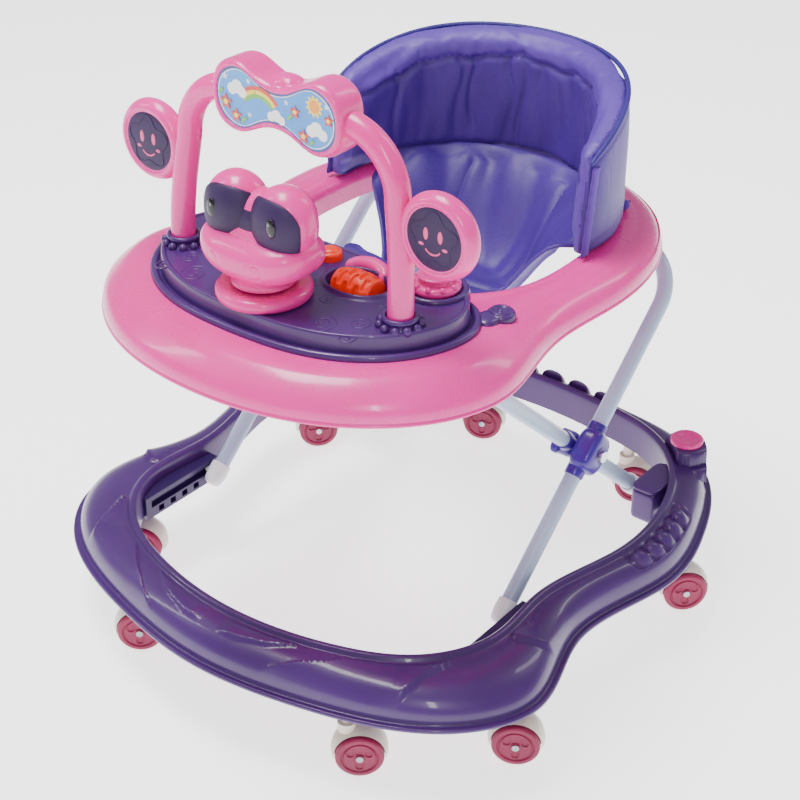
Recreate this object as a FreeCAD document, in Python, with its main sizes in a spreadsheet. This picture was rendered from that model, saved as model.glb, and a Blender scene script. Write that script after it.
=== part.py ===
import FreeCAD, Part
import math
import os
import Sketcher
from FreeCAD import Placement, Rotation, Vector

# Baby walker, in millimetres. +Z is up and the floor is z = 0, the child faces -Y,
# X runs from the left side (-X) to the right side (+X), and x = 0 is the plane of symmetry.

X_AXIS = Vector(1, 0, 0)
Y_AXIS = Vector(0, 1, 0)
Z_AXIS = Vector(0, 0, 1)
SIDES = (("left", -1), ("right", 1))

doc = FreeCAD.newDocument("baby_walker")

# ---------------------------------------------------------------- driving dimensions

SIZES = {
    # base ring
    "base_half_width": 300, "base_front": 377, "base_rear": 262,
    "flange_z": 82, "flange_thick": 4, "flange_width": 7, "base_top": 124, "base_wall": 4,
    "boss_x": 208, "boss_y": 200, "boss_radius": 38, "boss_top": 134,
    "cap_radius": 18, "cap_thick": 5, "cap_round": 2.5,
    "bump_radius": 12, "bump_y": 241.5, "bump_top": 131, "bump_pitch": 38, "bump_bow": 2.2,
    "socket_radius": 11, "socket_bottom": 76, "socket_depth": 32,
    # casters
    "wheel_radius": 24, "wheel_inner": 5.4, "wheel_width": 11.5, "wheel_groove": 1.2,
    "hood_radius": 28, "hood_gap": 1, "rib_width": 10, "rib_radius": 13,
    "trail": 12, "stem_radius": 5, "stem_top": 106, "collar_radius": 9, "collar_bottom": 48,
    "collar_top": 58, "axle_radius": 2, "axle_head": 3.6, "axle_head_thick": 1.6,
    # folding frame
    "tube_radius": 8.5, "tube_wall": 1.2, "frame_angle": 42, "lower_length": 182,
    "upper_length": 228, "pivot_y": 137, "pivot_z": 97, "rear_leg_x": 178, "front_leg_x": 198,
    "bend_radius": 60, "tube_end": 9, "bolt_radius": 2.5, "bolt_head": 6,
    "clamp_length": 46, "clamp_width": 38, "clamp_inner": 188.8, "clamp_outer": 216,
    "clip_radius": 14, "clip_sleeve": 11, "clip_inner": 166.5, "clip_outer": 187.6,
    "plug_radius": 10, "plug_length": 24, "peg_radius": 4, "peg_end": 214.5,
    "rail_inner": 210, "rail_bottom": 80, "rail_top": 107, "rail_front": -232, "rail_rear": -120,
    "rail_reach": 40, "slot_front": -224, "slot_rear": -127.5, "slot_back": 216,
    "notch_front": -214, "notch_pitch": 18, "notch_width": 8, "notch_height": 7,
    "bracket_inner": 190.4, "bracket_front": 112, "bracket_rear": 172, "bracket_bottom": 70,
    "bracket_top": 114, "bracket_wall": 4, "bracket_depth": 60, "bracket_room": 12,
    # tray ring
    "ring_half_width": 229, "ring_front": 353, "ring_rear": 257, "ring_bottom": 381.5,
    "ring_top": 412, "ring_wall": 4, "ring_round": 12,
    # toy tray
    "tray_lip": 424, "tray_top": 438, "tray_step": 12, "tray_wall": 4,
    "post_x": 133, "post_y": -219, "post_collar": 21, "collar_height": 9,
    # arch
    "arch_radius": 12, "arch_bar": 607, "arch_bend": 58, "arch_lean_x": 122, "post_foot": 426,
    "box_half": 80, "box_bottom": 574, "box_top": 641, "box_depth": 36, "box_waist": 8,
    "label_inset": 13, "label_thick": 0.6,
    "medal_x": 171, "medal_z": 531, "medal_radius": 40, "medal_thick": 22,
    "medal_face": 30, "medal_face_thick": 2,
    # toys
    "head_y": -250, "head_plinth": 43, "plinth_height": 12, "neck_radius": 22,
    "head_half": 60, "head_depth": 44, "head_height": 30, "head_z": 490,
    "eye_radius": 29, "eye_x": 27, "eye_z": 520, "eye_bulge": 5, "eye_forward": 4,
    "mask_thick": 1.5, "mask_low": 10, "mask_high": 16, "pupil_radius": 5, "pupil_rise": 3,
    "head_pin": 6, "roller_x": 56, "roller_y": -185, "roller_z": 433, "roller_radius": 18,
    "roller_length": 46, "dial_x": 118, "dial_y": -148, "dial_radius": 22, "dial_height": 15,
    "dial_pin": 4, "button_y": -158, "button_radius": 12, "button_height": 15,
    # seat
    "seat_y": 50, "seat_outer": 165, "seat_wall": 29, "seat_front": 28,
    "seat_rear_top": 559, "seat_front_top": 512,
    "sling_y": 38, "sling_top": 404, "sling_bottom": 316, "sling_thick": 7, "sling_rim": 138,
    "sling_floor": 92, "sling_flat": 60, "leg_hole": 34, "leg_hole_x": 50, "leg_hole_y": 8,
    "spring_radius": 8, "spring_wire": 0.5, "spring_pitch": 3,
    # fits, and the step from the drawing's origin to the middle of the footprint
    "fit": 0.05, "soft_gap": 0.4, "footprint_shift": 52.6,
}

sheet = doc.addObject("Spreadsheet::Sheet", "Sizes")
for row, (alias, value) in enumerate(SIZES.items(), start=1):
    sheet.set("A%d" % row, alias)
    sheet.set("B%d" % row, "%g" % value)
    sheet.setAlias("B%d" % row, alias)
doc.recompute()


def size(alias):
    """A driving dimension, read back from the sheet."""
    return float(getattr(sheet, alias))


# ---------------------------------------------------------------- outlines (right half, front to rear)

def mirrored(half):
    """Closes a right-hand half outline, front centre to rear centre, on the left."""
    left = [(-x, y) for x, y in reversed(half[1:-1])]
    return [Vector(x, y, 0) for x, y in half + left]


def closed_curve(points):
    """A smooth closed curve through the points."""
    curve = Part.BSplineCurve()
    curve.interpolate(Points=points, PeriodicFlag=True)
    return curve


def offset_curve(points, distance):
    """The smooth outline through the points, moved outwards by distance (inwards when negative)."""
    curve = closed_curve(points)
    moved = []
    for point in points:
        tangent = curve.tangent(curve.parameter(point))[0]
        moved.append(point + Vector(tangent.y, -tangent.x, 0) * distance)
    return closed_curve(moved)


BASE_OUTER = mirrored([
    (0, -size("base_front")), (122, -359), (200, -333), (264, -290),
    (size("base_half_width"), -222), (275, -112), (298, 30), (280, 125), (252, 188),
    (205, 238), (110, 254), (0, size("base_rear"))])
BASE_INNER = mirrored([
    (0, -321), (122, -300), (190, -263), (226, -200), (223, -120), (247, 0),
    (240, 90), (212, 155), (160, 202), (80, 222), (0, 228)])
RING_OUTER = mirrored([
    (0, -size("ring_front")), (99, -338), (172, -297), (216, -242),
    (size("ring_half_width"), -188), (220, -135), (208, -75), (212, 15), (200, 110),
    (150, 195), (80, 241), (0, size("ring_rear"))])
RING_OPENING = mirrored([
    (0, -112), (85, -104), (132, -62), (147, 30), (133, 110), (80, 168), (0, 187)])
TRAY_LIP = mirrored([
    (0, -300), (94, -287), (142, -258), (172, -215), (176, -160), (150, -128),
    (80, -124), (0, -123)])

CASTERS = (
    # name, swivel axis x and y, heading of the wheel axle
    ("front", 150, -322, -50), ("bulge", 258, -214, -58), ("side", 263, 92, -44),
    ("rear", 112, 239, -62))


# ---------------------------------------------------------------- building helpers

def bind(item, **expressions):
    """Binds properties of an object to cells of the sheet."""
    for prop, expression in expressions.items():
        item.setExpression(prop, expression)


def named(item, label):
    item.Label = label
    return item


def new_body(label):
    return named(doc.addObject("PartDesign::Body", label), label)


def new_sketch(body, role, level=None):
    """A sketch on an origin plane of its body; level is the cell or formula of its height."""
    index = len(body.Group)
    sketch = body.newObject("Sketcher::SketchObject", "%s_sketch_%d" % (body.Name, index))
    plane = [item for item in body.Origin.OriginFeatures if item.Role == role][0]
    sketch.AttachmentSupport = [(plane, "")]
    sketch.MapMode = "FlatFace"
    if level:
        sketch.setExpression("AttachmentOffset.Base.z", level)
    return sketch


def add_circle(sketch, x, y, radius_cell, constant=0.0):
    """A circle at (x, y) whose radius is a cell of the sheet plus a constant."""
    radius = size(radius_cell) + constant
    index = sketch.addGeometry(Part.Circle(Vector(x, y, 0), Z_AXIS, radius), False)
    name = sketch.addConstraint(Sketcher.Constraint("Radius", index, radius))
    sketch.setExpression("Constraints[%d]" % name, "Sizes.%s + %g" % (radius_cell, constant))


def add_polygon(sketch, corners):
    """Straight lines through the corners, closed."""
    points = [Vector(x, y, 0) for x, y in corners]
    for start, end in zip(points, points[1:] + points[:1]):
        sketch.addGeometry(Part.LineSegment(start, end), False)


def pad(body, sketch, length, reverse=False, midplane=False):
    feature = body.newObject("PartDesign::Pad", "%s_pad_%d" % (body.Name, len(body.Group)))
    feature.Profile = sketch
    feature.Reversed = reverse
    feature.Midplane = midplane
    feature.setExpression("Length", length)
    sketch.Visibility = False
    return feature


def pocket(body, sketch, length=None, reverse=False, midplane=False):
    """Cuts the sketch away, right through when no length is given."""
    feature = body.newObject("PartDesign::Pocket", "%s_cut_%d" % (body.Name, len(body.Group)))
    feature.Profile = sketch
    feature.Reversed = reverse
    feature.Midplane = midplane
    if length:
        feature.setExpression("Length", length)
    else:
        feature.Type = "ThroughAll"
    sketch.Visibility = False
    return feature


def cylinder(name, radius, height, place, axis=Z_AXIS):
    """A cylinder from place along axis; radius and height are formulas of the sheet."""
    item = doc.addObject("Part::Cylinder", name)
    bind(item, Radius=radius, Height=height)
    item.Placement = Placement(place, Rotation(Z_AXIS, axis))
    return item


def box(name, length, width, height, corner):
    """A box from its lowest corner; its sides are formulas of the sheet."""
    item = doc.addObject("Part::Box", name)
    bind(item, Length=length, Width=width, Height=height)
    item.Placement = Placement(corner, Rotation())
    return item


def cut(name, base, tool):
    item = doc.addObject("Part::Cut", name)
    item.Base = base
    item.Tool = tool
    return item


def fuse(name, *shapes):
    item = doc.addObject("Part::MultiFuse", name)
    item.Shapes = list(shapes)
    return item


def common(name, base, tool):
    item = doc.addObject("Part::Common", name)
    item.Base = base
    item.Tool = tool
    return item


def group(label, members):
    """Several separate solids that share one node."""
    item = doc.addObject("Part::Compound", label)
    item.Links = members
    return named(item, label)


def fillet_edges(body, feature, radius, wanted):
    """Rounds the edges of a feature that the test accepts."""
    doc.recompute()
    names = ["Edge%d" % (i + 1) for i, edge in enumerate(feature.Shape.Edges) if wanted(edge)]
    item = body.newObject("PartDesign::Fillet", "%s_round_%d" % (body.Name, len(body.Group)))
    item.Base = (feature, names)
    item.setExpression("Radius", radius)
    feature.Visibility = False
    return item


def at_height(level, longer_than=0.0):
    """An edge test: the edge lies at one height, and is long enough."""
    def test(edge):
        low, high = edge.BoundBox.ZMin, edge.BoundBox.ZMax
        return abs(low - level) < 0.01 and abs(high - level) < 0.01 and edge.Length > longer_than
    return test


# ---------------------------------------------------------------- base ring

def base_opening(name, level, height):
    """The space inside the base ring, for trimming what is fixed to its inner wall."""
    body = new_body(name)
    sketch = new_sketch(body, "XY_Plane", level)
    sketch.addGeometry(offset_curve(BASE_INNER, -0.05), False)
    pad(body, sketch, height)
    return body


def base_shell():
    """Moulded ring: outer flange, rounded wall, hollow underside, caster sockets, corner bosses."""
    body = new_body("base_shell")
    wall = size("base_wall")
    flange = new_sketch(body, "XY_Plane", "Sizes.flange_z")
    flange.addGeometry(closed_curve(BASE_OUTER), False)
    pad(body, flange, "Sizes.flange_thick")
    ring = new_sketch(body, "XY_Plane", "Sizes.flange_z + Sizes.flange_thick")
    ring.addGeometry(offset_curve(BASE_OUTER, -size("flange_width")), False)
    pad(body, ring, "Sizes.base_top - Sizes.flange_z - Sizes.flange_thick")
    bosses = new_sketch(body, "XY_Plane", "Sizes.flange_z + Sizes.flange_thick")
    for _, sign in SIDES:
        add_circle(bosses, sign * size("boss_x"), size("boss_y"), "boss_radius")
    pad(body, bosses, "Sizes.boss_top - Sizes.flange_z - Sizes.flange_thick")
    bumps = new_sketch(body, "XY_Plane", "Sizes.flange_z + Sizes.flange_thick")
    for step in (-2, -1, 0, 1, 2):
        add_circle(bumps, step * size("bump_pitch"), size("bump_y") - abs(step) * size("bump_bow"),
                   "bump_radius")
    pad(body, bumps, "Sizes.bump_top - Sizes.flange_z - Sizes.flange_thick")
    opening = new_sketch(body, "XY_Plane", "Sizes.boss_top + 1")
    opening.addGeometry(closed_curve(BASE_INNER), False)
    pocket(body, opening)
    hollow = new_sketch(body, "XY_Plane", "Sizes.flange_z")
    hollow.addGeometry(offset_curve(BASE_OUTER, -size("flange_width") - wall), False)
    hollow.addGeometry(offset_curve(BASE_INNER, wall), False)
    pocket(body, hollow, "Sizes.base_top - Sizes.flange_z - Sizes.base_wall", reverse=True)
    sockets = new_sketch(body, "XY_Plane", "Sizes.socket_bottom")
    bores = new_sketch(body, "XY_Plane", "Sizes.socket_bottom")
    for _, x, y, _ in CASTERS:
        for _, sign in SIDES:
            add_circle(sockets, sign * x, y, "socket_radius")
            add_circle(bores, sign * x, y, "stem_radius", size("fit"))
    pad(body, sockets, "Sizes.base_top - Sizes.socket_bottom - Sizes.base_wall + 0.5")
    pocket(body, bores, "Sizes.socket_depth", reverse=True)
    return body


def corner_caps():
    """Domed caps that plug the two rear corner bosses."""
    caps = []
    for side, sign in SIDES:
        place = Vector(sign * size("boss_x"), size("boss_y"), size("boss_top"))
        disc = cylinder("cap_disc_" + side, "Sizes.cap_radius", "Sizes.cap_thick", place)
        rounded = doc.addObject("Part::Fillet", "cap_round_" + side)
        doc.recompute()
        rounded.Base = disc
        top = [i + 1 for i, edge in enumerate(disc.Shape.Edges)
               if abs(edge.BoundBox.ZMin - size("boss_top") - size("cap_thick")) < 0.01]
        rounded.Edges = [(index, size("cap_round"), size("cap_round")) for index in top]
        caps.append(rounded)
    return group("corner_caps", caps)


def pivot_brackets(opening):
    """Open boxes on the inner wall that carry the pins of the rear legs."""
    brackets = []
    wall = size("bracket_wall")
    depth = size("bracket_depth")
    room = size("bracket_room")
    for side, sign in SIDES:
        inner = size("bracket_inner")
        low_x = inner if sign > 0 else -inner - depth
        corner = Vector(low_x, size("bracket_front"), size("bracket_bottom"))
        block = box("bracket_block_" + side, "Sizes.bracket_depth",
                    "Sizes.bracket_rear - Sizes.bracket_front",
                    "Sizes.bracket_top - Sizes.bracket_bottom", corner)
        hollow_x = low_x + (wall if sign > 0 else depth - wall - room)
        hollow = box("bracket_hollow_" + side, "Sizes.bracket_room",
                     "Sizes.bracket_rear - Sizes.bracket_front - 2 * Sizes.bracket_wall",
                     "Sizes.bracket_top - Sizes.bracket_bottom",
                     Vector(hollow_x, size("bracket_front") + wall, size("bracket_bottom") + wall))
        bore = cylinder("bracket_bore_" + side, "Sizes.peg_radius + Sizes.fit", "80",
                        Vector(sign * 160, size("pivot_y"), size("pivot_z")), X_AXIS * sign)
        open_box = cut("bracket_open_" + side, block, fuse("bracket_tool_" + side, hollow, bore))
        brackets.append(common("bracket_trim_" + side, open_box, opening))
    return group("pivot_brackets", brackets)


def height_rail(side, sign, opening):
    """Slotted rail on the inner wall that guides the foot of the front leg."""
    reach = size("rail_reach")
    low_x = size("rail_inner") if sign > 0 else -size("rail_inner") - reach
    blank = box("rail_blank_" + side, "Sizes.rail_reach", "Sizes.rail_rear - Sizes.rail_front",
                "Sizes.rail_top - Sizes.rail_bottom",
                Vector(low_x, size("rail_front"), size("rail_bottom")))
    slot_depth = size("slot_back") - size("rail_inner")
    slot_x = size("rail_inner") - 1 if sign > 0 else -size("slot_back")
    slot = box("rail_slot_" + side, "%g" % (slot_depth + 1), "Sizes.slot_rear - Sizes.slot_front",
               "2 * Sizes.peg_radius + 1",
               Vector(slot_x, size("slot_front"), size("pivot_z") - size("peg_radius") - 0.5))
    notches = []
    for step in range(5):
        notch_y = size("notch_front") + step * size("notch_pitch")
        notches.append(box("rail_notch_%s_%d" % (side, step), "%g" % (slot_depth + 1),
                           "Sizes.notch_width", "Sizes.notch_height",
                           Vector(slot_x, notch_y, size("rail_bottom") + 3)))
    open_rail = cut("rail_open_" + side, blank, fuse("rail_tool_" + side, slot, *notches))
    return named(common("height_rail_" + side, open_rail, opening), "height_rail_" + side)


def pivot_pins():
    """Steel pins on which the feet of the rear legs turn."""
    pins = []
    for side, sign in SIDES:
        place = Vector(sign * (size("rear_leg_x") - 14), size("pivot_y"), size("pivot_z"))
        pins.append(cylinder("pin_" + side, "Sizes.peg_radius", "38", place, X_AXIS * sign))
    return group("pivot_pins", pins)


# ---------------------------------------------------------------- casters

def caster(name, x, y, heading):
    """One twin-wheel caster: hood with stem, two wheels and the steel axle."""
    turn = Placement(Vector(x, y, 0), Rotation(Z_AXIS, heading))
    centre = Vector(0, size("trail"), size("wheel_radius"))

    def placed(item):
        item.Placement = turn.multiply(item.Placement)
        return item

    ball = doc.addObject("Part::Sphere", "ball_" + name)
    bind(ball, Radius="Sizes.hood_radius", Angle1="-8")
    ball.Placement = Placement(centre, Rotation())
    rib = cylinder("rib_" + name, "Sizes.rib_radius", "Sizes.rib_width",
                   centre - X_AXIS * (size("rib_width") / 2), X_AXIS)
    stem = cylinder("stem_" + name, "Sizes.stem_radius", "Sizes.stem_top - Sizes.collar_bottom",
                    Vector(0, 0, size("collar_bottom")))
    collar = cylinder("collar_" + name, "Sizes.collar_radius",
                      "Sizes.collar_top - Sizes.collar_bottom",
                      Vector(0, 0, size("collar_bottom")))
    cavities = []
    for side, sign in SIDES:
        start = centre + X_AXIS * (sign * size("rib_width") / 2)
        cavities.append(cylinder("cavity_%s_%s" % (name, side),
                                 "Sizes.wheel_radius + Sizes.hood_gap", "30", start, X_AXIS * sign))
    dome = cut("dome_" + name, ball, fuse("cavities_" + name, *cavities))
    whole = fuse("hood_" + name, dome, rib, stem, collar)
    bore = cylinder("hood_bore_" + name, "Sizes.axle_radius + Sizes.fit", "60",
                    centre - X_AXIS * 30, X_AXIS)
    hood = placed(cut("caster_hood_" + name, whole, bore))
    named(hood, "caster_hood_" + name)

    discs = []
    for side, sign in SIDES:
        start = centre + X_AXIS * (sign * size("wheel_inner"))
        disc = cylinder("disc_%s_%s" % (name, side), "Sizes.wheel_radius", "Sizes.wheel_width",
                        start, X_AXIS * sign)
        groove_start = start + X_AXIS * (sign * (size("wheel_width") - size("wheel_groove")))
        outer = cylinder("groove_out_%s_%s" % (name, side), "Sizes.wheel_radius - 6", "10",
                         groove_start, X_AXIS * sign)
        inner = cylinder("groove_in_%s_%s" % (name, side), "Sizes.wheel_radius - 8", "12",
                         groove_start - X_AXIS * sign, X_AXIS * sign)
        hole = cylinder("hole_%s_%s" % (name, side), "Sizes.axle_radius + Sizes.fit", "60",
                        centre - X_AXIS * (30 * sign), X_AXIS * sign)
        groove = cut("groove_%s_%s" % (name, side), outer, inner)
        discs.append(cut("wheel_%s_%s" % (name, side), disc,
                         fuse("wheel_tool_%s_%s" % (name, side), groove, hole)))
    wheels = placed(group("caster_wheels_" + name, discs))

    reach = size("wheel_inner") + size("wheel_width") + 0.2
    rod = cylinder("rod_" + name, "Sizes.axle_radius", "%g" % (2 * reach),
                   centre - X_AXIS * reach, X_AXIS)
    heads = [cylinder("head_%s_%s" % (name, side), "Sizes.axle_head", "Sizes.axle_head_thick",
                      centre + X_AXIS * (sign * reach), X_AXIS * sign) for side, sign in SIDES]
    axle = placed(fuse("caster_axle_" + name, rod, *heads))
    named(axle, "caster_axle_" + name)
    return [hood, wheels, axle]


# ---------------------------------------------------------------- folding frame

ANGLE = size("frame_angle")
CROSS = Vector(0, size("pivot_y") - size("lower_length") * math.cos(math.radians(ANGLE)),
               size("pivot_z") + size("lower_length") * math.sin(math.radians(ANGLE)))


def leg_frame(lean):
    """Placement of a leg frame: its own +Y runs up the leg, and its origin is the crossing."""
    return Placement(CROSS, Rotation(X_AXIS, lean))


FRONT_LEG = leg_frame(ANGLE)          # foot at the front, closed end under the rear of the tray
REAR_LEG = leg_frame(180 - ANGLE)     # foot at the rear, closed end under the front of the tray


def leg_tube(label, half_width, place, pinned_foot):
    """One bent steel tube: two legs and a cross bar, drilled at the crossing and a pinned foot."""
    body = new_body(label)
    foot = -size("lower_length") - size("tube_end")
    top = size("upper_length")
    bend = size("bend_radius")
    path = new_sketch(body, "XY_Plane")
    path.addGeometry(Part.LineSegment(Vector(half_width, foot, 0),
                                      Vector(half_width, top - bend, 0)), False)
    path.addGeometry(Part.ArcOfCircle(Part.Circle(Vector(half_width - bend, top - bend, 0),
                                                  Z_AXIS, bend), 0, math.pi / 2), False)
    path.addGeometry(Part.LineSegment(Vector(half_width - bend, top, 0),
                                      Vector(bend - half_width, top, 0)), False)
    path.addGeometry(Part.ArcOfCircle(Part.Circle(Vector(bend - half_width, top - bend, 0),
                                                  Z_AXIS, bend), math.pi / 2, math.pi), False)
    path.addGeometry(Part.LineSegment(Vector(-half_width, top - bend, 0),
                                      Vector(-half_width, foot, 0)), False)
    profile = new_sketch(body, "XZ_Plane", "%g" % -foot)
    add_circle(profile, half_width, 0, "tube_radius")
    add_circle(profile, half_width, 0, "tube_radius", -size("tube_wall"))
    doc.recompute()
    tube = body.newObject("PartDesign::AdditivePipe", label + "_pipe")
    tube.Profile = profile
    tube.Spine = (path, ["Edge%d" % (i + 1) for i in range(5)])
    path.Visibility = False
    profile.Visibility = False
    holes = new_sketch(body, "YZ_Plane")
    add_circle(holes, 0, 0, "bolt_radius", size("fit"))
    if pinned_foot:
        add_circle(holes, -size("lower_length"), 0, "peg_radius", size("fit"))
    pocket(body, holes, "3 * Sizes.front_leg_x", midplane=True)
    body.Placement = place
    return body


def cross_clamp(side, sign):
    """Plastic block clamped round the front leg at the crossing."""
    low_x = size("clamp_inner") if sign > 0 else -size("clamp_outer")
    block = box("clamp_block_" + side, "Sizes.clamp_outer - Sizes.clamp_inner",
                "Sizes.clamp_length", "Sizes.clamp_width",
                Vector(low_x, -size("clamp_length") / 2, -size("clamp_width") / 2))
    doc.recompute()
    rounded = doc.addObject("Part::Chamfer", "clamp_cut_" + side)
    rounded.Base = block
    rounded.Edges = [(i + 1, 9, 9) for i, edge in enumerate(block.Shape.Edges)
                     if edge.BoundBox.XLength > 1]
    tunnel = cylinder("clamp_tunnel_" + side, "Sizes.tube_radius + Sizes.fit", "80",
                      Vector(sign * size("front_leg_x"), -40, 0), Y_AXIS)
    bore = cylinder("clamp_bore_" + side, "Sizes.bolt_radius + Sizes.fit", "60",
                    Vector(sign * 170, 0, 0), X_AXIS * sign)
    clamp = cut("cross_clamp_" + side, rounded, fuse("clamp_tool_" + side, tunnel, bore))
    clamp.Placement = FRONT_LEG
    return named(clamp, "cross_clamp_" + side)


def cross_clips():
    """Clips round the rear leg at the crossing, flat where they face the clamp blocks."""
    clips = []
    reach = size("clip_outer") - size("clip_inner")
    for side, sign in SIDES:
        start = Vector(sign * size("rear_leg_x"), -16, 0)
        sleeve = cylinder("clip_sleeve_" + side, "Sizes.clip_sleeve", "32", start, Y_AXIS)
        tunnel = cylinder("clip_tunnel_" + side, "Sizes.tube_radius + Sizes.fit", "40",
                          start - Y_AXIS * 4, Y_AXIS)
        pad_block = cylinder("clip_pad_" + side, "Sizes.clip_radius", "%g" % (reach + 5),
                             Vector(sign * size("clip_inner"), 0, 0), X_AXIS * sign)
        bore = cylinder("clip_bore_" + side, "Sizes.bolt_radius + Sizes.fit", "60",
                        Vector(sign * 150, 0, 0), X_AXIS * sign)
        low_x = size("clip_inner") - 5 if sign > 0 else -size("clip_outer")
        limit = box("clip_limit_" + side, "%g" % (reach + 5), "80", "80", Vector(low_x, -40, -40))
        blank = common("clip_blank_" + side,
                       fuse("clip_whole_" + side, sleeve, pad_block), limit)
        clips.append(cut("clip_" + side, blank, fuse("clip_tool_" + side, tunnel, bore)))
    clip_group = group("cross_clips", clips)
    clip_group.Placement = REAR_LEG
    return clip_group


def cross_bolts():
    """Bolts along X on which the two leg frames turn at the crossing."""
    bolts = []
    for side, sign in SIDES:
        start = size("clip_inner") - 3
        shank = cylinder("shank_" + side, "Sizes.bolt_radius", "Sizes.clamp_outer - %g" % start,
                         Vector(sign * start, 0, 0), X_AXIS * sign)
        head = cylinder("bolt_head_" + side, "Sizes.bolt_head", "4",
                        Vector(sign * (size("clamp_outer") + 0.1), 0, 0), X_AXIS * sign)
        neck = cylinder("bolt_neck_" + side, "Sizes.bolt_radius", "0.6",
                        Vector(sign * (size("clamp_outer") - 0.3), 0, 0), X_AXIS * sign)
        nut = cylinder("bolt_nut_" + side, "Sizes.bolt_head - 1", "3",
                       Vector(sign * (start + 2.8), 0, 0), X_AXIS * -sign)
        bolts.append(fuse("bolt_" + side, shank, neck, head, nut))
    bolt_group = group("cross_bolts", bolts)
    bolt_group.Placement = FRONT_LEG
    return bolt_group


def end_plug(name, x, place_y):
    """Plastic plug over the open end of a leg, in the leg's own frame."""
    cap = cylinder("plug_cap_" + name, "Sizes.plug_radius", "Sizes.plug_length",
                   Vector(x, place_y - 5, 0), Y_AXIS)
    room = cylinder("plug_room_" + name, "Sizes.tube_radius + Sizes.fit", "Sizes.plug_length",
                    Vector(x, place_y, 0), Y_AXIS)
    return cut("plug_" + name, cap, room)


def rail_feet():
    """End plugs of the front leg with the pegs that run in the height rails."""
    feet = []
    end = -size("lower_length") - size("tube_end")
    for side, sign in SIDES:
        x = size("front_leg_x")
        plug = end_plug("front_" + side, sign * x, end)
        peg_start = x + size("tube_radius") + 0.3
        peg = cylinder("peg_" + side, "Sizes.peg_radius", "Sizes.peg_end - %g" % peg_start,
                       Vector(sign * peg_start, -size("lower_length"), 0), X_AXIS * sign)
        feet.append(fuse("rail_foot_" + side, plug, peg))
    foot_group = group("rail_feet", feet)
    foot_group.Placement = FRONT_LEG
    return foot_group


def pivot_feet():
    """End plugs of the rear leg, bored for the pivot pins."""
    feet = []
    end = -size("lower_length") - size("tube_end")
    for side, sign in SIDES:
        x = sign * size("rear_leg_x")
        plug = end_plug("rear_" + side, x, end)
        bore = cylinder("foot_bore_" + side, "Sizes.peg_radius + Sizes.fit", "40",
                        Vector(x - 20, -size("lower_length"), 0), X_AXIS)
        feet.append(cut("pivot_foot_" + side, plug, bore))
    foot_group = group("pivot_feet", feet)
    foot_group.Placement = REAR_LEG
    return foot_group


# ---------------------------------------------------------------- tray ring

def tray_ring():
    """Pink bumper ring with the seat opening, hollow from below."""
    body = new_body("tray_ring")
    outline = new_sketch(body, "XY_Plane", "Sizes.ring_bottom")
    outline.addGeometry(closed_curve(RING_OUTER), False)
    block = pad(body, outline, "Sizes.ring_top - Sizes.ring_bottom")
    fillet_edges(body, block, "Sizes.ring_round", at_height(size("ring_top"), 500))
    opening = new_sketch(body, "XY_Plane", "Sizes.ring_top + 1")
    opening.addGeometry(closed_curve(RING_OPENING), False)
    pocket(body, opening)
    hollow = new_sketch(body, "XY_Plane", "Sizes.ring_bottom")
    hollow.addGeometry(offset_curve(RING_OUTER, -size("ring_wall") * 1.5), False)
    hollow.addGeometry(offset_curve(RING_OPENING, size("ring_wall")), False)
    pocket(body, hollow, "Sizes.ring_top - Sizes.ring_bottom - Sizes.ring_wall", reverse=True)
    return body


def tray_saddles():
    """Clips under the rear of the ring that carry the cross bar of the front leg."""
    bar = Vector(0, size("upper_length"), 0)
    centre = FRONT_LEG.multVec(bar)
    saddles = []
    for side, sign in SIDES:
        block = box("saddle_block_" + side, "20", "26", "%g" % (size("ring_top") - size("ring_wall")
                                                                - centre.z + 13),
                    Vector(sign * 112 - 10, centre.y - 13, centre.z - 13))
        tunnel = cylinder("saddle_tunnel_" + side, "Sizes.tube_radius + Sizes.fit", "40",
                          Vector(sign * 112 - 20, centre.y, centre.z), X_AXIS)
        saddles.append(cut("saddle_" + side, block, tunnel))
    return group("rear_saddles", saddles)


def front_guides():
    """Slotted guides under the toy tray in which the cross bar of the rear leg slides."""
    centre = REAR_LEG.multVec(Vector(0, size("upper_length"), 0))
    travel = 112
    guides = []
    for side, sign in SIDES:
        block = box("guide_block_" + side, "12", "%g" % (travel + 40),
                    "%g" % (size("ring_top") - size("ring_wall") - centre.z + 14),
                    Vector(sign * 88 - 6, centre.y - travel - 20, centre.z - 14))
        slot = box("guide_slot_" + side, "20", "%g" % (travel + 20),
                   "2 * Sizes.tube_radius + 0.8",
                   Vector(sign * 88 - 10, centre.y - travel - 10,
                          centre.z - size("tube_radius") - 0.4))
        guides.append(cut("guide_" + side, block, slot))
    return group("front_guides", guides)


# ---------------------------------------------------------------- toy tray

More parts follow.
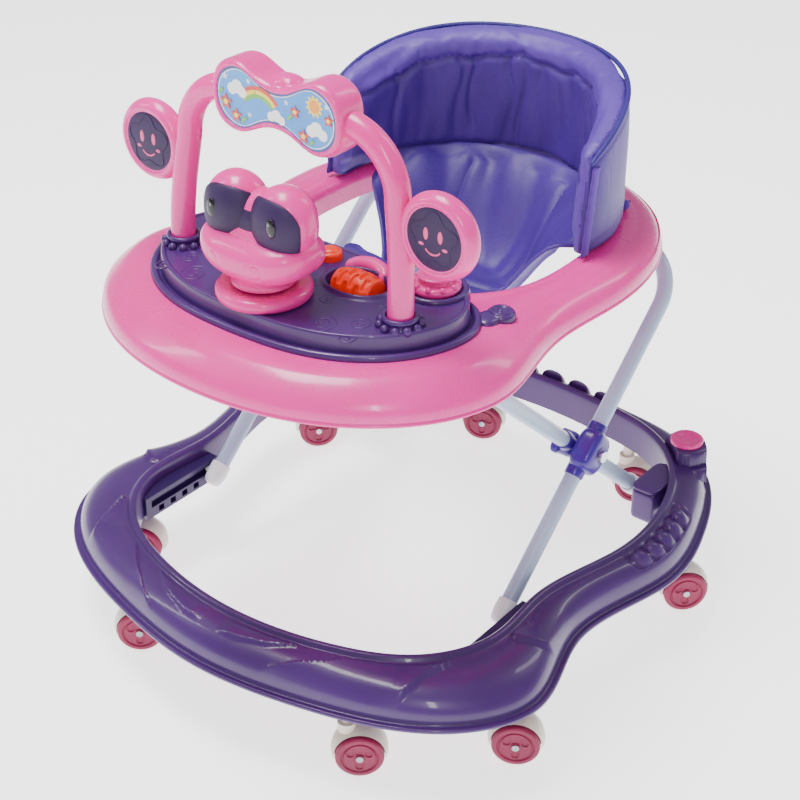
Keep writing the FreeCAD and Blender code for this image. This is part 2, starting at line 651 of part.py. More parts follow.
def toy_tray():
    """Stepped play plate: lip, raised plate, post collars, roller windows, dial and head pins."""
    body = new_body("toy_tray")
    step = size("tray_step")
    wall = size("tray_wall")
    lip = new_sketch(body, "XY_Plane", "Sizes.ring_top")
    lip.addGeometry(closed_curve(TRAY_LIP), False)
    pad(body, lip, "Sizes.tray_lip - Sizes.ring_top")
    plate = new_sketch(body, "XY_Plane", "Sizes.tray_lip")
    plate.addGeometry(offset_curve(TRAY_LIP, -step), False)
    pad(body, plate, "Sizes.tray_top - Sizes.tray_lip")
    collars = new_sketch(body, "XY_Plane", "Sizes.tray_lip")
    for _, sign in SIDES:
        add_circle(collars, sign * size("post_x"), size("post_y"), "post_collar")
    pad(body, collars, "Sizes.tray_top - Sizes.tray_lip + Sizes.collar_height")
    room = new_sketch(body, "XY_Plane", "Sizes.ring_top")
    room.addGeometry(offset_curve(TRAY_LIP, -step - wall), False)
    pocket(body, room, "Sizes.tray_top - Sizes.ring_top - Sizes.tray_wall", reverse=True)
    windows = new_sketch(body, "XY_Plane", "Sizes.tray_top + 1")
    half_length = size("roller_length") / 2 + 2
    half_width = size("roller_radius") + 2
    for _, sign in SIDES:
        x, y = sign * size("roller_x"), size("roller_y")
        add_polygon(windows, [(x - half_length, y - half_width), (x + half_length, y - half_width),
                              (x + half_length, y + half_width), (x - half_length, y + half_width)])
    pocket(body, windows, "2 * Sizes.tray_wall")
    lugs = new_sketch(body, "XY_Plane", "Sizes.tray_top - Sizes.tray_wall")
    for _, sign in SIDES:
        for end in (-1, 1):
            x = sign * size("roller_x") + end * (half_length + 3)
            y = size("roller_y")
            add_polygon(lugs, [(x - 3, y - 6), (x + 3, y - 6), (x + 3, y + 6), (x - 3, y + 6)])
    pad(body, lugs, "10", reverse=True)
    axle_bores = new_sketch(body, "YZ_Plane")
    add_circle(axle_bores, size("roller_y"), size("roller_z"), "axle_radius", size("fit"))
    pocket(body, axle_bores, "190", midplane=True)
    pins = new_sketch(body, "XY_Plane", "Sizes.tray_top - Sizes.tray_wall")
    for _, sign in SIDES:
        add_circle(pins, sign * size("dial_x"), size("dial_y"), "dial_pin")
    pad(body, pins, "Sizes.tray_wall + Sizes.dial_height - 2")
    holes = new_sketch(body, "XY_Plane", "Sizes.tray_top + Sizes.collar_height + 1")
    for _, sign in SIDES:
        add_circle(holes, sign * size("post_x"), size("post_y"), "arch_radius", 0.6)
    pocket(body, holes, "%g" % (size("tray_top") + size("collar_height") + 1
                                - size("post_foot") + 1))
    button_hole = new_sketch(body, "XY_Plane", "Sizes.tray_top + 1")
    add_circle(button_hole, 0, size("button_y"), "button_radius", 0.3)
    pocket(body, button_hole, "2 * Sizes.tray_wall")
    return body


def roller(side, sign):
    """Barrel roller, turned about its axle and narrower towards its ends."""
    body = new_body("roller_" + side)
    length = size("roller_length")
    radius = size("roller_radius")
    x = sign * size("roller_x")
    profile = new_sketch(body, "XZ_Plane")
    bore = size("axle_radius") + size("fit")
    low, high = x - length / 2, x + length / 2
    z = size("roller_z")
    ends = 5
    profile.addGeometry(Part.LineSegment(Vector(low, z + bore, 0),
                                         Vector(high, z + bore, 0)), False)
    profile.addGeometry(Part.LineSegment(Vector(high, z + bore, 0),
                                         Vector(high, z + radius - ends, 0)), False)
    profile.addGeometry(Part.Arc(Vector(high, z + radius - ends, 0), Vector(x, z + radius, 0),
                                 Vector(low, z + radius - ends, 0)), False)
    profile.addGeometry(Part.LineSegment(Vector(low, z + radius - ends, 0),
                                         Vector(low, z + bore, 0)), False)
    profile.addGeometry(Part.LineSegment(Vector(low - 5, z, 0), Vector(high + 5, z, 0)), True)
    barrel = body.newObject("PartDesign::Revolution", "roller_turn_" + side)
    barrel.Profile = profile
    barrel.ReferenceAxis = (profile, ["Axis0"])
    barrel.Angle = 360
    profile.Visibility = False
    body.Placement = Placement(Vector(0, size("roller_y"), 0), Rotation())
    return body


def roller_axles():
    """Steel axles of the two rollers."""
    reach = size("roller_length") / 2 + 7
    return group("roller_axles", [
        cylinder("roller_axle_" + side, "Sizes.axle_radius", "%g" % (2 * reach),
                 Vector(sign * size("roller_x") - reach, size("roller_y"), size("roller_z")), X_AXIS)
        for side, sign in SIDES])


def dial(side, sign):
    """Round knob that turns on its pin."""
    x, y = sign * size("dial_x"), size("dial_y")
    level = size("tray_top") + 0.3
    disc = cylinder("dial_disc_" + side, "Sizes.dial_radius", "Sizes.dial_height - 0.3",
                    Vector(x, y, level))
    doc.recompute()
    rounded = doc.addObject("Part::Fillet", "dial_round_" + side)
    rounded.Base = disc
    rounded.Edges = [(i + 1, 5, 5) for i, edge in enumerate(disc.Shape.Edges)
                     if edge.BoundBox.ZLength < 0.01 and edge.BoundBox.ZMin > level + 1]
    bore = cylinder("dial_bore_" + side, "Sizes.dial_pin + Sizes.fit", "40", Vector(x, y, level - 5))
    return named(cut("dial_" + side, rounded, bore), "dial_" + side)


def centre_button():
    """Squeaker button that is pressed down into the tray."""
    place = Vector(0, size("button_y"), size("tray_top") - size("tray_wall") - 3)
    flange = cylinder("button_flange", "Sizes.button_radius + 3", "2.5",
                      place - Z_AXIS * 0.3)
    shaft = cylinder("button_shaft", "Sizes.button_radius", "Sizes.button_height", place)
    return named(fuse("centre_button", shaft, flange), "centre_button")


def button_spring():
    """Coil spring between the ring's top plate and the centre button."""
    foot = size("ring_top") + size("spring_wire") + 0.2
    room = size("tray_top") - size("tray_wall") - 3.5 - size("spring_wire") - foot
    start = Vector(0, size("button_y"), foot)
    coil = doc.addObject("Part::Helix", "spring_line")
    bind(coil, Radius="Sizes.spring_radius", Pitch="Sizes.spring_pitch", Height="%g" % room)
    coil.Placement = Placement(start, Rotation())
    wire = doc.addObject("Part::Circle", "spring_section")
    bind(wire, Radius="Sizes.spring_wire")
    wire.Placement = Placement(start + X_AXIS * size("spring_radius"), Rotation(Z_AXIS, Y_AXIS))
    spring = doc.addObject("Part::Sweep", "button_spring")
    spring.Sections = [wire]
    spring.Spine = (coil, [])
    spring.Solid = True
    spring.Frenet = True
    return named(spring, "button_spring")


# ---------------------------------------------------------------- toy head

def toy_head():
    """Turning frog-like head on a fixed plinth: plinth, head, eye mask and pupils."""
    y = size("head_y")
    top = size("tray_top")
    foot = Vector(0, y, top)
    plinth = fuse("toy_head_plinth",
                  cylinder("plinth_disc", "Sizes.head_plinth", "Sizes.plinth_height", foot),
                  cylinder("plinth_pin", "Sizes.head_pin", "Sizes.plinth_height + 20", foot))
    named(plinth, "toy_head_plinth")

    def ellipsoid(name, centre, half_x, half_y, half_z):
        item = doc.addObject("Part::Ellipsoid", name)
        bind(item, Radius1=half_z, Radius2=half_x, Radius3=half_y, Angle1="-90", Angle2="90")
        item.Placement = Placement(centre, Rotation())
        return item

    neck = cylinder("neck", "Sizes.neck_radius", "%g" % (size("head_z") - top
                                                         - size("plinth_height") - 15),
                    foot + Z_AXIS * (size("plinth_height") + 0.4))
    muzzle = ellipsoid("muzzle", Vector(0, y, size("head_z")), "Sizes.head_half",
                       "Sizes.head_depth", "Sizes.head_height")
    eyes = []
    covers = []
    for side, sign in SIDES:
        centre = Vector(sign * size("eye_x"), y - size("eye_forward"), size("eye_z"))
        eyes.append(ellipsoid("eye_" + side, centre, "Sizes.eye_radius",
                              "Sizes.eye_radius + Sizes.eye_bulge", "Sizes.eye_radius"))
        covers.append(ellipsoid("cover_" + side, centre, "Sizes.eye_radius + Sizes.mask_thick",
                                "Sizes.eye_radius + Sizes.eye_bulge + Sizes.mask_thick",
                                "Sizes.eye_radius + Sizes.mask_thick"))
    skull = fuse("skull", neck, muzzle, *eyes)
    bore = cylinder("head_bore", "Sizes.head_pin + Sizes.fit", "Sizes.plinth_height + 20.5", foot)
    head = named(cut("toy_head", skull, bore), "toy_head")

    window = box("mask_window", "2 * Sizes.head_half + 10", "Sizes.head_depth",
                 "Sizes.mask_low + Sizes.mask_high",
                 Vector(-size("head_half") - 5, y - size("head_depth") - size("eye_forward"),
                        size("eye_z") - size("mask_low")))
    mask = cut("toy_head_mask", common("mask_band", fuse("cover", *covers), window),
               fuse("skull_copy", neck, muzzle, *eyes))
    named(mask, "toy_head_mask")
    pupils = []
    mask_front = size("eye_forward") + size("eye_radius") + size("eye_bulge") + size("mask_thick")
    for side, sign in SIDES:
        start = Vector(sign * (size("eye_x") - 2), y - mask_front - 1.5,
                       size("eye_z") + size("pupil_rise"))
        dot = cylinder("pupil_dot_" + side, "Sizes.pupil_radius", "8", start, Y_AXIS)
        pupils.append(cut("pupil_" + side, dot, fuse("pupil_tool_" + side, *covers)))
    return [plinth, head, mask, group("toy_head_pupils", pupils)]


# ---------------------------------------------------------------- arch

def arch_solid(name, radius_constant):
    """The bent arch as a solid rod of the arch radius plus a constant."""
    body = new_body(name)
    x, lean = size("post_x"), size("arch_lean_x")
    bend, bar, foot = size("arch_bend"), size("arch_bar"), size("post_foot")
    shoulder = bar - bend
    path = new_sketch(body, "XZ_Plane", "%g" % -size("post_y"))
    path.addGeometry(Part.Arc(Vector(x, foot, 0), Vector((x + lean) / 2 + 2, (foot + shoulder) / 2, 0),
                              Vector(lean, shoulder, 0)), False)
    path.addGeometry(Part.Arc(Vector(lean, shoulder, 0),
                              Vector(lean - bend * 0.31, shoulder + bend * 0.71, 0),
                              Vector(lean - bend, bar, 0)), False)
    path.addGeometry(Part.LineSegment(Vector(lean - bend, bar, 0), Vector(bend - lean, bar, 0)), False)
    path.addGeometry(Part.Arc(Vector(bend - lean, bar, 0),
                              Vector(bend * 0.31 - lean, shoulder + bend * 0.71, 0),
                              Vector(-lean, shoulder, 0)), False)
    path.addGeometry(Part.Arc(Vector(-lean, shoulder, 0),
                              Vector(-(x + lean) / 2 - 2, (foot + shoulder) / 2, 0),
                              Vector(-x, foot, 0)), False)
    profile = new_sketch(body, "XY_Plane", "Sizes.post_foot")
    add_circle(profile, x, size("post_y"), "arch_radius", radius_constant)
    doc.recompute()
    rod = body.newObject("PartDesign::AdditivePipe", name + "_pipe")
    rod.Profile = profile
    rod.Spine = (path, ["Edge%d" % (i + 1) for i in range(5)])
    path.Visibility = False
    profile.Visibility = False
    return body


def bow_outline(half, bottom, top, waist):
    """Bow-tie outline: rounded lobes left and right, drawn in at the middle."""
    middle = (bottom + top) / 2
    lobe = half * 0.62
    points = [
        (0, bottom + waist), (lobe, bottom), (half - 4, bottom + 12), (half, middle),
        (half - 4, top - 12), (lobe, top), (0, top - waist), (-lobe, top), (4 - half, top - 12),
        (-half, middle), (4 - half, bottom + 12), (-lobe, bottom)]
    return closed_curve([Vector(x, z, 0) for x, z in points])


def picture_box(arch_room):
    """Picture box carried by the arch, with the label on its front."""
    front = -size("post_y") + size("box_depth") / 2
    body = new_body("picture_box_block")
    outline = new_sketch(body, "XZ_Plane", "%g" % front)
    outline.addGeometry(bow_outline(size("box_half"), size("box_bottom"), size("box_top"),
                                    size("box_waist")), False)
    pad(body, outline, "Sizes.box_depth", reverse=True)
    box_part = named(cut("picture_box", body, arch_room), "picture_box")
    inset = size("label_inset")
    label = new_body("picture_label")
    sketch = new_sketch(label, "XZ_Plane", "%g" % front)
    sketch.addGeometry(bow_outline(size("box_half") - inset, size("box_bottom") + inset,
                                   size("box_top") - inset, size("box_waist") * 0.8), False)
    pad(label, sketch, "Sizes.label_thick")
    return [box_part, label]


def medallions(arch_room):
    """Round plaques on the outer side of the arch legs, and their faces."""
    rims = []
    faces = []
    rear = size("post_y") + size("medal_thick") / 2
    front = size("post_y") - size("medal_thick") / 2
    for side, sign in SIDES:
        place = Vector(sign * size("medal_x"), rear, size("medal_z"))
        disc = cylinder("medal_disc_" + side, "Sizes.medal_radius", "Sizes.medal_thick", place,
                        -Y_AXIS)
        doc.recompute()
        rounded = doc.addObject("Part::Fillet", "medal_round_" + side)
        rounded.Base = disc
        rounded.Edges = [(i + 1, 8, 8) for i, edge in enumerate(disc.Shape.Edges)
                         if edge.BoundBox.YLength < 0.01]
        recess = cylinder("medal_recess_" + side, "Sizes.medal_face + Sizes.fit", "10",
                          Vector(place.x, front + size("medal_face_thick"), place.z), -Y_AXIS)
        rims.append(cut("medal_rim_" + side, cut("medal_dish_" + side, rounded, recess), arch_room))
        faces.append(cylinder("medal_face_" + side, "Sizes.medal_face", "Sizes.medal_face_thick",
                              Vector(place.x, front + size("medal_face_thick"), place.z), -Y_AXIS))
    return [group("medallion_rims", rims), group("medallion_faces", faces)]


# ---------------------------------------------------------------- seat

def horseshoe(body, level, outer_cell, inner_wall):
    """Horseshoe outline open to the front: a half ring with straight arms."""
    sketch = new_sketch(body, "XY_Plane", level)
    outer = size(outer_cell)
    inner = outer - inner_wall
    y, front = size("seat_y"), size("seat_front")
    centre = Vector(0, y, 0)
    sketch.addGeometry(Part.ArcOfCircle(Part.Circle(centre, Z_AXIS, outer), 0, math.pi), False)
    sketch.addGeometry(Part.LineSegment(Vector(-outer, y, 0), Vector(-outer, front, 0)), False)
    sketch.addGeometry(Part.LineSegment(Vector(-outer, front, 0), Vector(-inner, front, 0)), False)
    sketch.addGeometry(Part.LineSegment(Vector(-inner, front, 0), Vector(-inner, y, 0)), False)
    sketch.addGeometry(Part.ArcOfCircle(Part.Circle(centre, Z_AXIS, inner), 0, math.pi), False)
    sketch.addGeometry(Part.LineSegment(Vector(inner, y, 0), Vector(inner, front, 0)), False)
    sketch.addGeometry(Part.LineSegment(Vector(inner, front, 0), Vector(outer, front, 0)), False)
    sketch.addGeometry(Part.LineSegment(Vector(outer, front, 0), Vector(outer, y, 0)), False)
    return sketch


def seat_back():
    """Padded back wall that stands on the rear of the ring, lower towards the front."""
    body = new_body("seat_back")
    sketch = horseshoe(body, "Sizes.ring_top + Sizes.soft_gap", "seat_outer", size("seat_wall"))
    pad(body, sketch, "Sizes.seat_rear_top - Sizes.ring_top - Sizes.soft_gap")
    slope = new_sketch(body, "YZ_Plane")
    front, rear = size("seat_front") - 5, size("seat_y") + size("seat_outer") + 5
    add_polygon(slope, [(front, size("seat_front_top")), (rear, size("seat_rear_top") + 1),
                        (front, size("seat_rear_top") + 2)])
    pocket(body, slope, "3 * Sizes.seat_outer", midplane=True)
    return body


def seat_sling():
    """Sling seat hung in the opening: a bowl with two leg holes."""
    body = new_body("seat_sling")
    y = size("sling_y")
    top, bottom = size("sling_top"), size("sling_bottom")
    thick = size("sling_thick")
    rim, floor_radius, flat = size("sling_rim"), size("sling_floor"), size("sling_flat")
    profile = new_sketch(body, "XZ_Plane", "%g" % -y)
    corners = [(rim, top), (rim - 26, top - 34), (floor_radius, bottom + 14), (flat, bottom),
               (0, bottom), (0, bottom + thick), (flat - 4, bottom + thick),
               (floor_radius - thick, bottom + 14 + thick), (rim - 26 - thick, top - 30),
               (rim - thick, top)]
    add_polygon(profile, corners)
    bowl = body.newObject("PartDesign::Revolution", "sling_turn")
    bowl.Profile = profile
    bowl.ReferenceAxis = (profile, ["V_Axis"])
    bowl.Angle = 360
    profile.Visibility = False
    legs = new_sketch(body, "XY_Plane", "Sizes.sling_bottom - 5")
    for _, sign in SIDES:
        add_circle(legs, sign * size("leg_hole_x"), size("leg_hole_y"), "leg_hole")
    pocket(body, legs, "60", reverse=True)
    return body


# ---------------------------------------------------------------- the assembly

opening = base_opening("opening_tool", "60", "100")
arch_room = arch_solid("arch_room", 0.1)

nodes = [base_shell(), corner_caps(), pivot_brackets(opening), pivot_pins()]
nodes += [height_rail(side, sign, opening) for side, sign in SIDES]
for place_name, x, y, heading in CASTERS:
    for side, sign in SIDES:
        nodes += caster("%s_%s" % (place_name, side), sign * x, y, heading)
nodes += [leg_tube("front_leg_tube", size("front_leg_x"), FRONT_LEG, False),
          leg_tube("rear_leg_tube", size("rear_leg_x"), REAR_LEG, True)]
nodes += [cross_clamp(side, sign) for side, sign in SIDES]
nodes += [cross_clips(), cross_bolts(), rail_feet(), pivot_feet()]
nodes += [tray_ring(), tray_saddles(), front_guides(), toy_tray(), roller_axles()]
for side, sign in SIDES:
    nodes += [roller(side, sign), dial(side, sign)]
nodes += [centre_button(), button_spring()] + toy_head() + [arch_solid("arch_tube", 0)]
nodes += picture_box(arch_room) + medallions(arch_room) + [seat_back(), seat_sling()]

doc.recompute()
shift = Placement(Vector(0, size("footprint_shift"), 0), Rotation())
for node in nodes:
    node.Placement = shift.multiply(node.Placement)
doc.recompute()

os.makedirs("parts", exist_ok=True)
for item in doc.Objects:
    if "Invalid" in item.State or "Error" in item.State:
        raise RuntimeError("%s: %s" % (item.Label, item.State))
for node in nodes:
    if node.Shape.isNull() or not node.Shape.isValid():
        raise RuntimeError("%s has no valid shape" % node.Label)
    node.Shape.exportStep("parts/%s.step" % node.Label)
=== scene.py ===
import math

import bmesh
import bpy
import numpy as np
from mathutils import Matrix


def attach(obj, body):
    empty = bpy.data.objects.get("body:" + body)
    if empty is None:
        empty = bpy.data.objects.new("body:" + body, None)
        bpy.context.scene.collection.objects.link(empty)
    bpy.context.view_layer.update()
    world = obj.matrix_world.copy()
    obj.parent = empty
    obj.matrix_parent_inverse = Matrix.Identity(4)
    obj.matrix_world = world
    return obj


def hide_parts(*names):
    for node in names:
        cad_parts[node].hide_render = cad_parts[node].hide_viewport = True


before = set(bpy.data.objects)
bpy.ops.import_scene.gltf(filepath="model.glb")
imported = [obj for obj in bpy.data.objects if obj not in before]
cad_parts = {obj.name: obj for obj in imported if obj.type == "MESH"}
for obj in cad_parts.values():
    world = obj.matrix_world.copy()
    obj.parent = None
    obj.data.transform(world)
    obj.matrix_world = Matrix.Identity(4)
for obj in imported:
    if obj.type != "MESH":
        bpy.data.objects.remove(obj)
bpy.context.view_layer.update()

# Drawing sizes are millimetres in the part's own frame: +Z up, the child faces -Y, x = 0 is the
# plane of symmetry. FOOTPRINT is the step from the drawing's origin to the middle of the footprint.
MM = 0.001
FOOTPRINT = np.array([0.0, 52.6, 0.0])
TURN = 2 * math.pi
SIDES = (("left", -1), ("right", 1))


# ---------------------------------------------------------------- mesh tools

def smooth_step(low, high, value):
    """0 below low, 1 above high, with a level start and end in between."""
    part = np.clip((value - low) / (high - low), 0, 1)
    return part * part * (3 - 2 * part)


def bell(value, width):
    """1 at zero, falling off like a bell curve of that width."""
    return np.exp(-(value / width) ** 2)


def soft(value, power):
    """A signed power of a sine or cosine: above 2 it squares a round section off."""
    return np.sign(value) * np.abs(value) ** (2 / power)


def quads(rows, columns, wrap_rows=False, wrap_columns=False):
    """Quads between neighbouring rows and columns of a grid; a wrapped side joins last to first."""
    i = np.arange(rows if wrap_rows else rows - 1)
    j = np.arange(columns if wrap_columns else columns - 1)
    i, j = np.meshgrid(i, j, indexing="ij")
    below, beside = (i + 1) % rows, (j + 1) % columns
    corners = [i * columns + j, below * columns + j, below * columns + beside, i * columns + beside]
    return np.stack(corners, -1).reshape(-1, 4)


def skin(grid, wrap_rows=False, wrap_columns=False):
    """A grid of points (rows, columns, 3) as vertices and quads."""
    rows, columns = grid.shape[:2]
    return grid.reshape(-1, 3), quads(rows, columns, wrap_rows, wrap_columns)


def capped(grid):
    """The grid with its first and last row closed to the middle of that row."""
    first, last = (np.repeat(grid[[row]].mean(1, keepdims=True), grid.shape[1], 1) for row in (0, -1))
    return np.concatenate([first, grid, last])


def mirrored(one):
    """The same skin on the other side of x = 0."""
    return one[0] * (-1, 1, 1), one[1]


def both(skins):
    """Skins of the right side and their mirror images."""
    return list(skins) + [mirrored(one) for one in skins]


def mesh_object(name, skins, sharp=40):
    """One object from skins in drawing millimetres: seams and poles merged, faces turned outwards."""
    starts = np.cumsum([0] + [len(vertices) for vertices, _ in skins[:-1]])
    vertices = np.vstack([vertices for vertices, _ in skins])
    faces = np.vstack([faces + start for (_, faces), start in zip(skins, starts)])
    mesh = bpy.data.meshes.new(name)
    mesh.from_pydata(((vertices + FOOTPRINT) * MM).tolist(), [], faces.tolist())
    work = bmesh.new()
    work.from_mesh(mesh)
    bmesh.ops.remove_doubles(work, verts=work.verts, dist=2e-6)
    bmesh.ops.dissolve_degenerate(work, edges=work.edges, dist=1e-7)
    bmesh.ops.recalc_face_normals(work, faces=work.faces)
    work.to_mesh(mesh)
    work.free()
    mesh.shade_smooth()
    mesh.set_sharp_from_angle(angle=math.radians(sharp))
    piece = bpy.data.objects.new(name, mesh)
    bpy.context.scene.collection.objects.link(piece)
    return piece


def make(name, skins, material, body, replaces=(), sharp=40):
    """A finished piece: mesh, material, the body it rides on and what it stands for."""
    piece = mesh_object(name, skins, sharp)
    piece.data.materials.append(material)
    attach(piece, body)
    if replaces:
        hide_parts(*replaces)
    return piece


def directions(line):
    """Unit directions along an open line."""
    along = np.gradient(line, axis=0)
    return along / np.linalg.norm(along, axis=1)[:, None]


def lengths(line):
    """Length of a line from its start to each of its points."""
    return np.concatenate([[0], np.cumsum(np.linalg.norm(np.diff(line, axis=0), axis=1))])


def at_length(line, place):
    """Points of a flat line at those lengths from its start."""
    length = lengths(line)
    return np.stack([np.interp(place, length, line[:, k]) for k in (0, 1)], -1)


def basis(axis):
    """Two directions at right angles to an axis and to each other, and the axis, as rows."""
    axis = np.array(axis, float) / np.linalg.norm(axis)
    helper = np.array([0.0, 0.0, 1.0]) if abs(axis[2]) < 0.9 else np.array([0.0, 1.0, 0.0])
    first = np.cross(helper, axis)
    first /= np.linalg.norm(first)
    return np.array([first, np.cross(axis, first), axis])


def turned(profile, centre, axis=(0, 0, 1), steps=64, lift=None):
    """A profile of (radius, height along the axis) carried round the axis; lift(radius, angle) may
    raise points along the axis."""
    profile = np.array(profile, float)
    angle = np.arange(steps) / steps * TURN
    radius = profile[None, :, 0] + 0 * angle[:, None]
    height = profile[None, :, 1] + 0 * angle[:, None]
    if lift is not None:
        height = height + lift(radius, angle[:, None] + 0 * radius, height)
    local = np.stack([radius * np.cos(angle)[:, None], radius * np.sin(angle)[:, None], height], -1)
    return skin(local @ basis(axis) + np.array(centre, float), wrap_rows=True)


def rounded(profile, cuts=4):
    """A profile of straight runs with each corner cut that many times, a quarter in from each side."""
    points = np.array(profile, float)
    for _ in range(cuts):
        start, end = points[:-1], points[1:]
        inner = np.stack([start * 0.75 + end * 0.25, start * 0.25 + end * 0.75], 1).reshape(-1, 2)
        points = np.vstack([points[:1], inner, points[-1:]])
    return points


def swept(path, radius, across, sides=24, closed=False):
    """A round section carried along a flat path; across is the direction square to its plane.
    An open tube ends in a rounded cap."""
    path = np.array(path, float)
    if closed:
        along = np.roll(path, -1, 0) - np.roll(path, 1, 0)
        along /= np.linalg.norm(along, axis=1)[:, None]
    else:
        along = directions(path)
    across = np.array(across, float) / np.linalg.norm(across)
    out = np.cross(along, across)
    out /= np.linalg.norm(out, axis=1)[:, None]
    radius = np.full(len(path), radius, float) if np.isscalar(radius) else np.array(radius, float)
    if not closed:
        bend = np.linspace(0, math.pi / 2, 7)
        push, shrink = np.sin(bend), np.cos(bend)
        head = path[0] - along[0] * (radius[0] * push[::-1, None])
        tail = path[-1] + along[-1] * (radius[-1] * push[:, None])
        path = np.vstack([head, path, tail])
        out = np.vstack([np.repeat(out[:1], 7, 0), out, np.repeat(out[-1:], 7, 0)])
        radius = np.concatenate([radius[0] * shrink[::-1], radius, radius[-1] * shrink])
    angle = np.arange(sides) / sides * TURN
    ring = out[:, None, :] * np.cos(angle)[None, :, None] + across * np.sin(angle)[None, :, None]
    return skin(path[:, None, :] + ring * radius[:, None, None], wrap_rows=closed,
                wrap_columns=True)


def blob(centre, radii, power=2.0, rows=32, columns=48, shape=None):
    """A superellipsoid: each coordinate is a signed power of the sine and cosine of two angles.
    shape(points) may press a relief into it before it is placed."""
    up = np.linspace(-math.pi / 2, math.pi / 2, rows)[:, None]
    around = (np.arange(columns) / columns * TURN)[None, :]
    reach = soft(np.cos(up), power)
    points = np.stack([reach * soft(np.cos(around), power), reach * soft(np.sin(around), power),
                       soft(np.sin(up), power) + 0 * around], -1) * np.array(radii, float)
    if shape is not None:
        points = shape(points)
    return skin(points + np.array(centre, float), wrap_columns=True)


def closed_outline(half, samples=3600):
    """A smooth periodic cubic through the right-hand corner points and their mirror images, with
    chord length as its parameter and matching second derivatives at the points."""
    right = np.array(half, float)
    points = np.vstack([right, right[-2:0:-1] * (-1, 1)])
    count = len(points)
    chord = np.linalg.norm(np.roll(points, -1, 0) - points, axis=1)
    before = np.roll(chord, 1)
    index = np.arange(count)
    matrix = np.zeros((count, count))
    matrix[index, index] = 2 * (chord + before)
    matrix[index, index - 1] = chord
    matrix[index, (index + 1) % count] = before
    slope = (np.roll(points, -1, 0) - points) / chord[:, None]
    known = 3 * (chord[:, None] * np.roll(slope, 1, 0) + before[:, None] * slope)
    tangent = np.linalg.solve(matrix, known)
    knots = np.concatenate([[0], np.cumsum(chord)])
    place = np.arange(samples) / samples * knots[-1]
    span = np.clip(np.searchsorted(knots, place, side="right") - 1, 0, count - 1)
    length = chord[span][:, None]
    t = ((place - knots[span]) / chord[span])[:, None]
    after = (span + 1) % count
    return ((2 * t ** 3 - 3 * t ** 2 + 1) * points[span] + (t ** 3 - 2 * t ** 2 + t) * length
            * tangent[span] + (3 * t ** 2 - 2 * t ** 3) * points[after]
            + (t ** 3 - t ** 2) * length * tangent[after])


def even(outline, count):
    """Points at equal steps of length round a closed outline."""
    closed = np.vstack([outline, outline[:1]])
    return at_length(closed, np.arange(count) / count * lengths(closed)[-1])


def opposite(outline, centre, points):
    """Where rays from the centre through the points meet another outline."""
    def heading(some):
        return np.arctan2(some[:, 1] - centre[1], some[:, 0] - centre[0])

    order = np.argsort(heading(outline))
    angles, ordered = heading(outline)[order], outline[order]
    return np.stack([np.interp(heading(points), angles, ordered[:, k], period=TURN)
                     for k in (0, 1)], -1)


def outward(outline):
    """Unit normals of a closed outline that runs anticlockwise."""
    along = np.roll(outline, -1, 0) - np.roll(outline, 1, 0)
    along /= np.linalg.norm(along, axis=1)[:, None]
    return np.stack([along[:, 1], -along[:, 0]], -1)


def band(outer, inner, columns):
    """Rows round a ring between two outlines. A column is (share, in, out, z): share runs from the
    inner outline, moved in mm into the band, to the outer outline, moved out mm into the band."""
    share, from_inner, from_outer, level = np.array(columns, float).T
    low = inner[:, None, :] + outward(inner)[:, None, :] * from_inner[None, :, None]
    high = outer[:, None, :] - outward(outer)[:, None, :] * from_outer[None, :, None]
    flat = low * (1 - share)[None, :, None] + high * share[None, :, None]
    return np.dstack([flat, np.repeat(level[None, :], len(outer), 0)])


def distance_to(points, line):
    """Distance of each point to a line of many points, and the side it lies on (+ is left of it)."""
    line = np.array(line, float)
    place = np.linspace(0, len(line) - 1, 60)
    dense = np.stack([np.interp(place, np.arange(len(line)), line[:, k]) for k in (0, 1)], -1)
    gap = points[:, None, :] - dense[None]
    squared = (gap ** 2).sum(-1)
    near = squared.argmin(1)
    along = np.gradient(dense, axis=0)[near]
    chosen = gap[np.arange(len(points)), near]
    side = np.sign(along[:, 0] * chosen[:, 1] - along[:, 1] * chosen[:, 0])
    return np.sqrt(squared.min(1)), side, near / 59


# ---------------------------------------------------------------- materials

def linear(code):
    """A web colour code as linear light."""
    parts = [int(code[i:i + 2], 16) / 255 for i in (0, 2, 4)]
    return tuple(p / 12.92 if p <= 0.04045 else ((p + 0.055) / 1.055) ** 2.4 for p in parts) + (1,)


def group_tree(name, inputs, outputs):
    """An empty shader node group with those value sockets; Vector is always its first input."""
    tree = bpy.data.node_groups.new(name, "ShaderNodeTree")
    tree.interface.new_socket("Vector", in_out="INPUT", socket_type="NodeSocketVector")
    for label in inputs:
        tree.interface.new_socket(label, in_out="INPUT", socket_type="NodeSocketFloat")
    for label in outputs:
        tree.interface.new_socket(label, in_out="OUTPUT", socket_type="NodeSocketFloat")
    return tree, tree.nodes.new("NodeGroupInput"), tree.nodes.new("NodeGroupOutput")


def noise(tree, vector, scale, detail=3.0, stretch=None):
    """A noise node on a vector, stretched along axes if asked; returns its value socket."""
    if stretch:
        mapping = tree.nodes.new("ShaderNodeMapping")
        mapping.inputs["Scale"].default_value = stretch
        tree.links.new(vector, mapping.inputs["Vector"])
        vector = mapping.outputs["Vector"]
    node = tree.nodes.new("ShaderNodeTexNoise")
    node.inputs["Scale"].default_value = scale
    node.inputs["Detail"].default_value = detail
    tree.links.new(vector, node.inputs["Vector"])
    return node.outputs["Fac"]


def ramp(tree, value, low, high, to_low=0.0, to_high=1.0):
    """Maps a value from one span to another, clamped."""
    node = tree.nodes.new("ShaderNodeMapRange")
    for index, number in enumerate((low, high, to_low, to_high), start=1):
        node.inputs[index].default_value = number
    tree.links.new(value, node.inputs[0])
    return node.outputs[0]


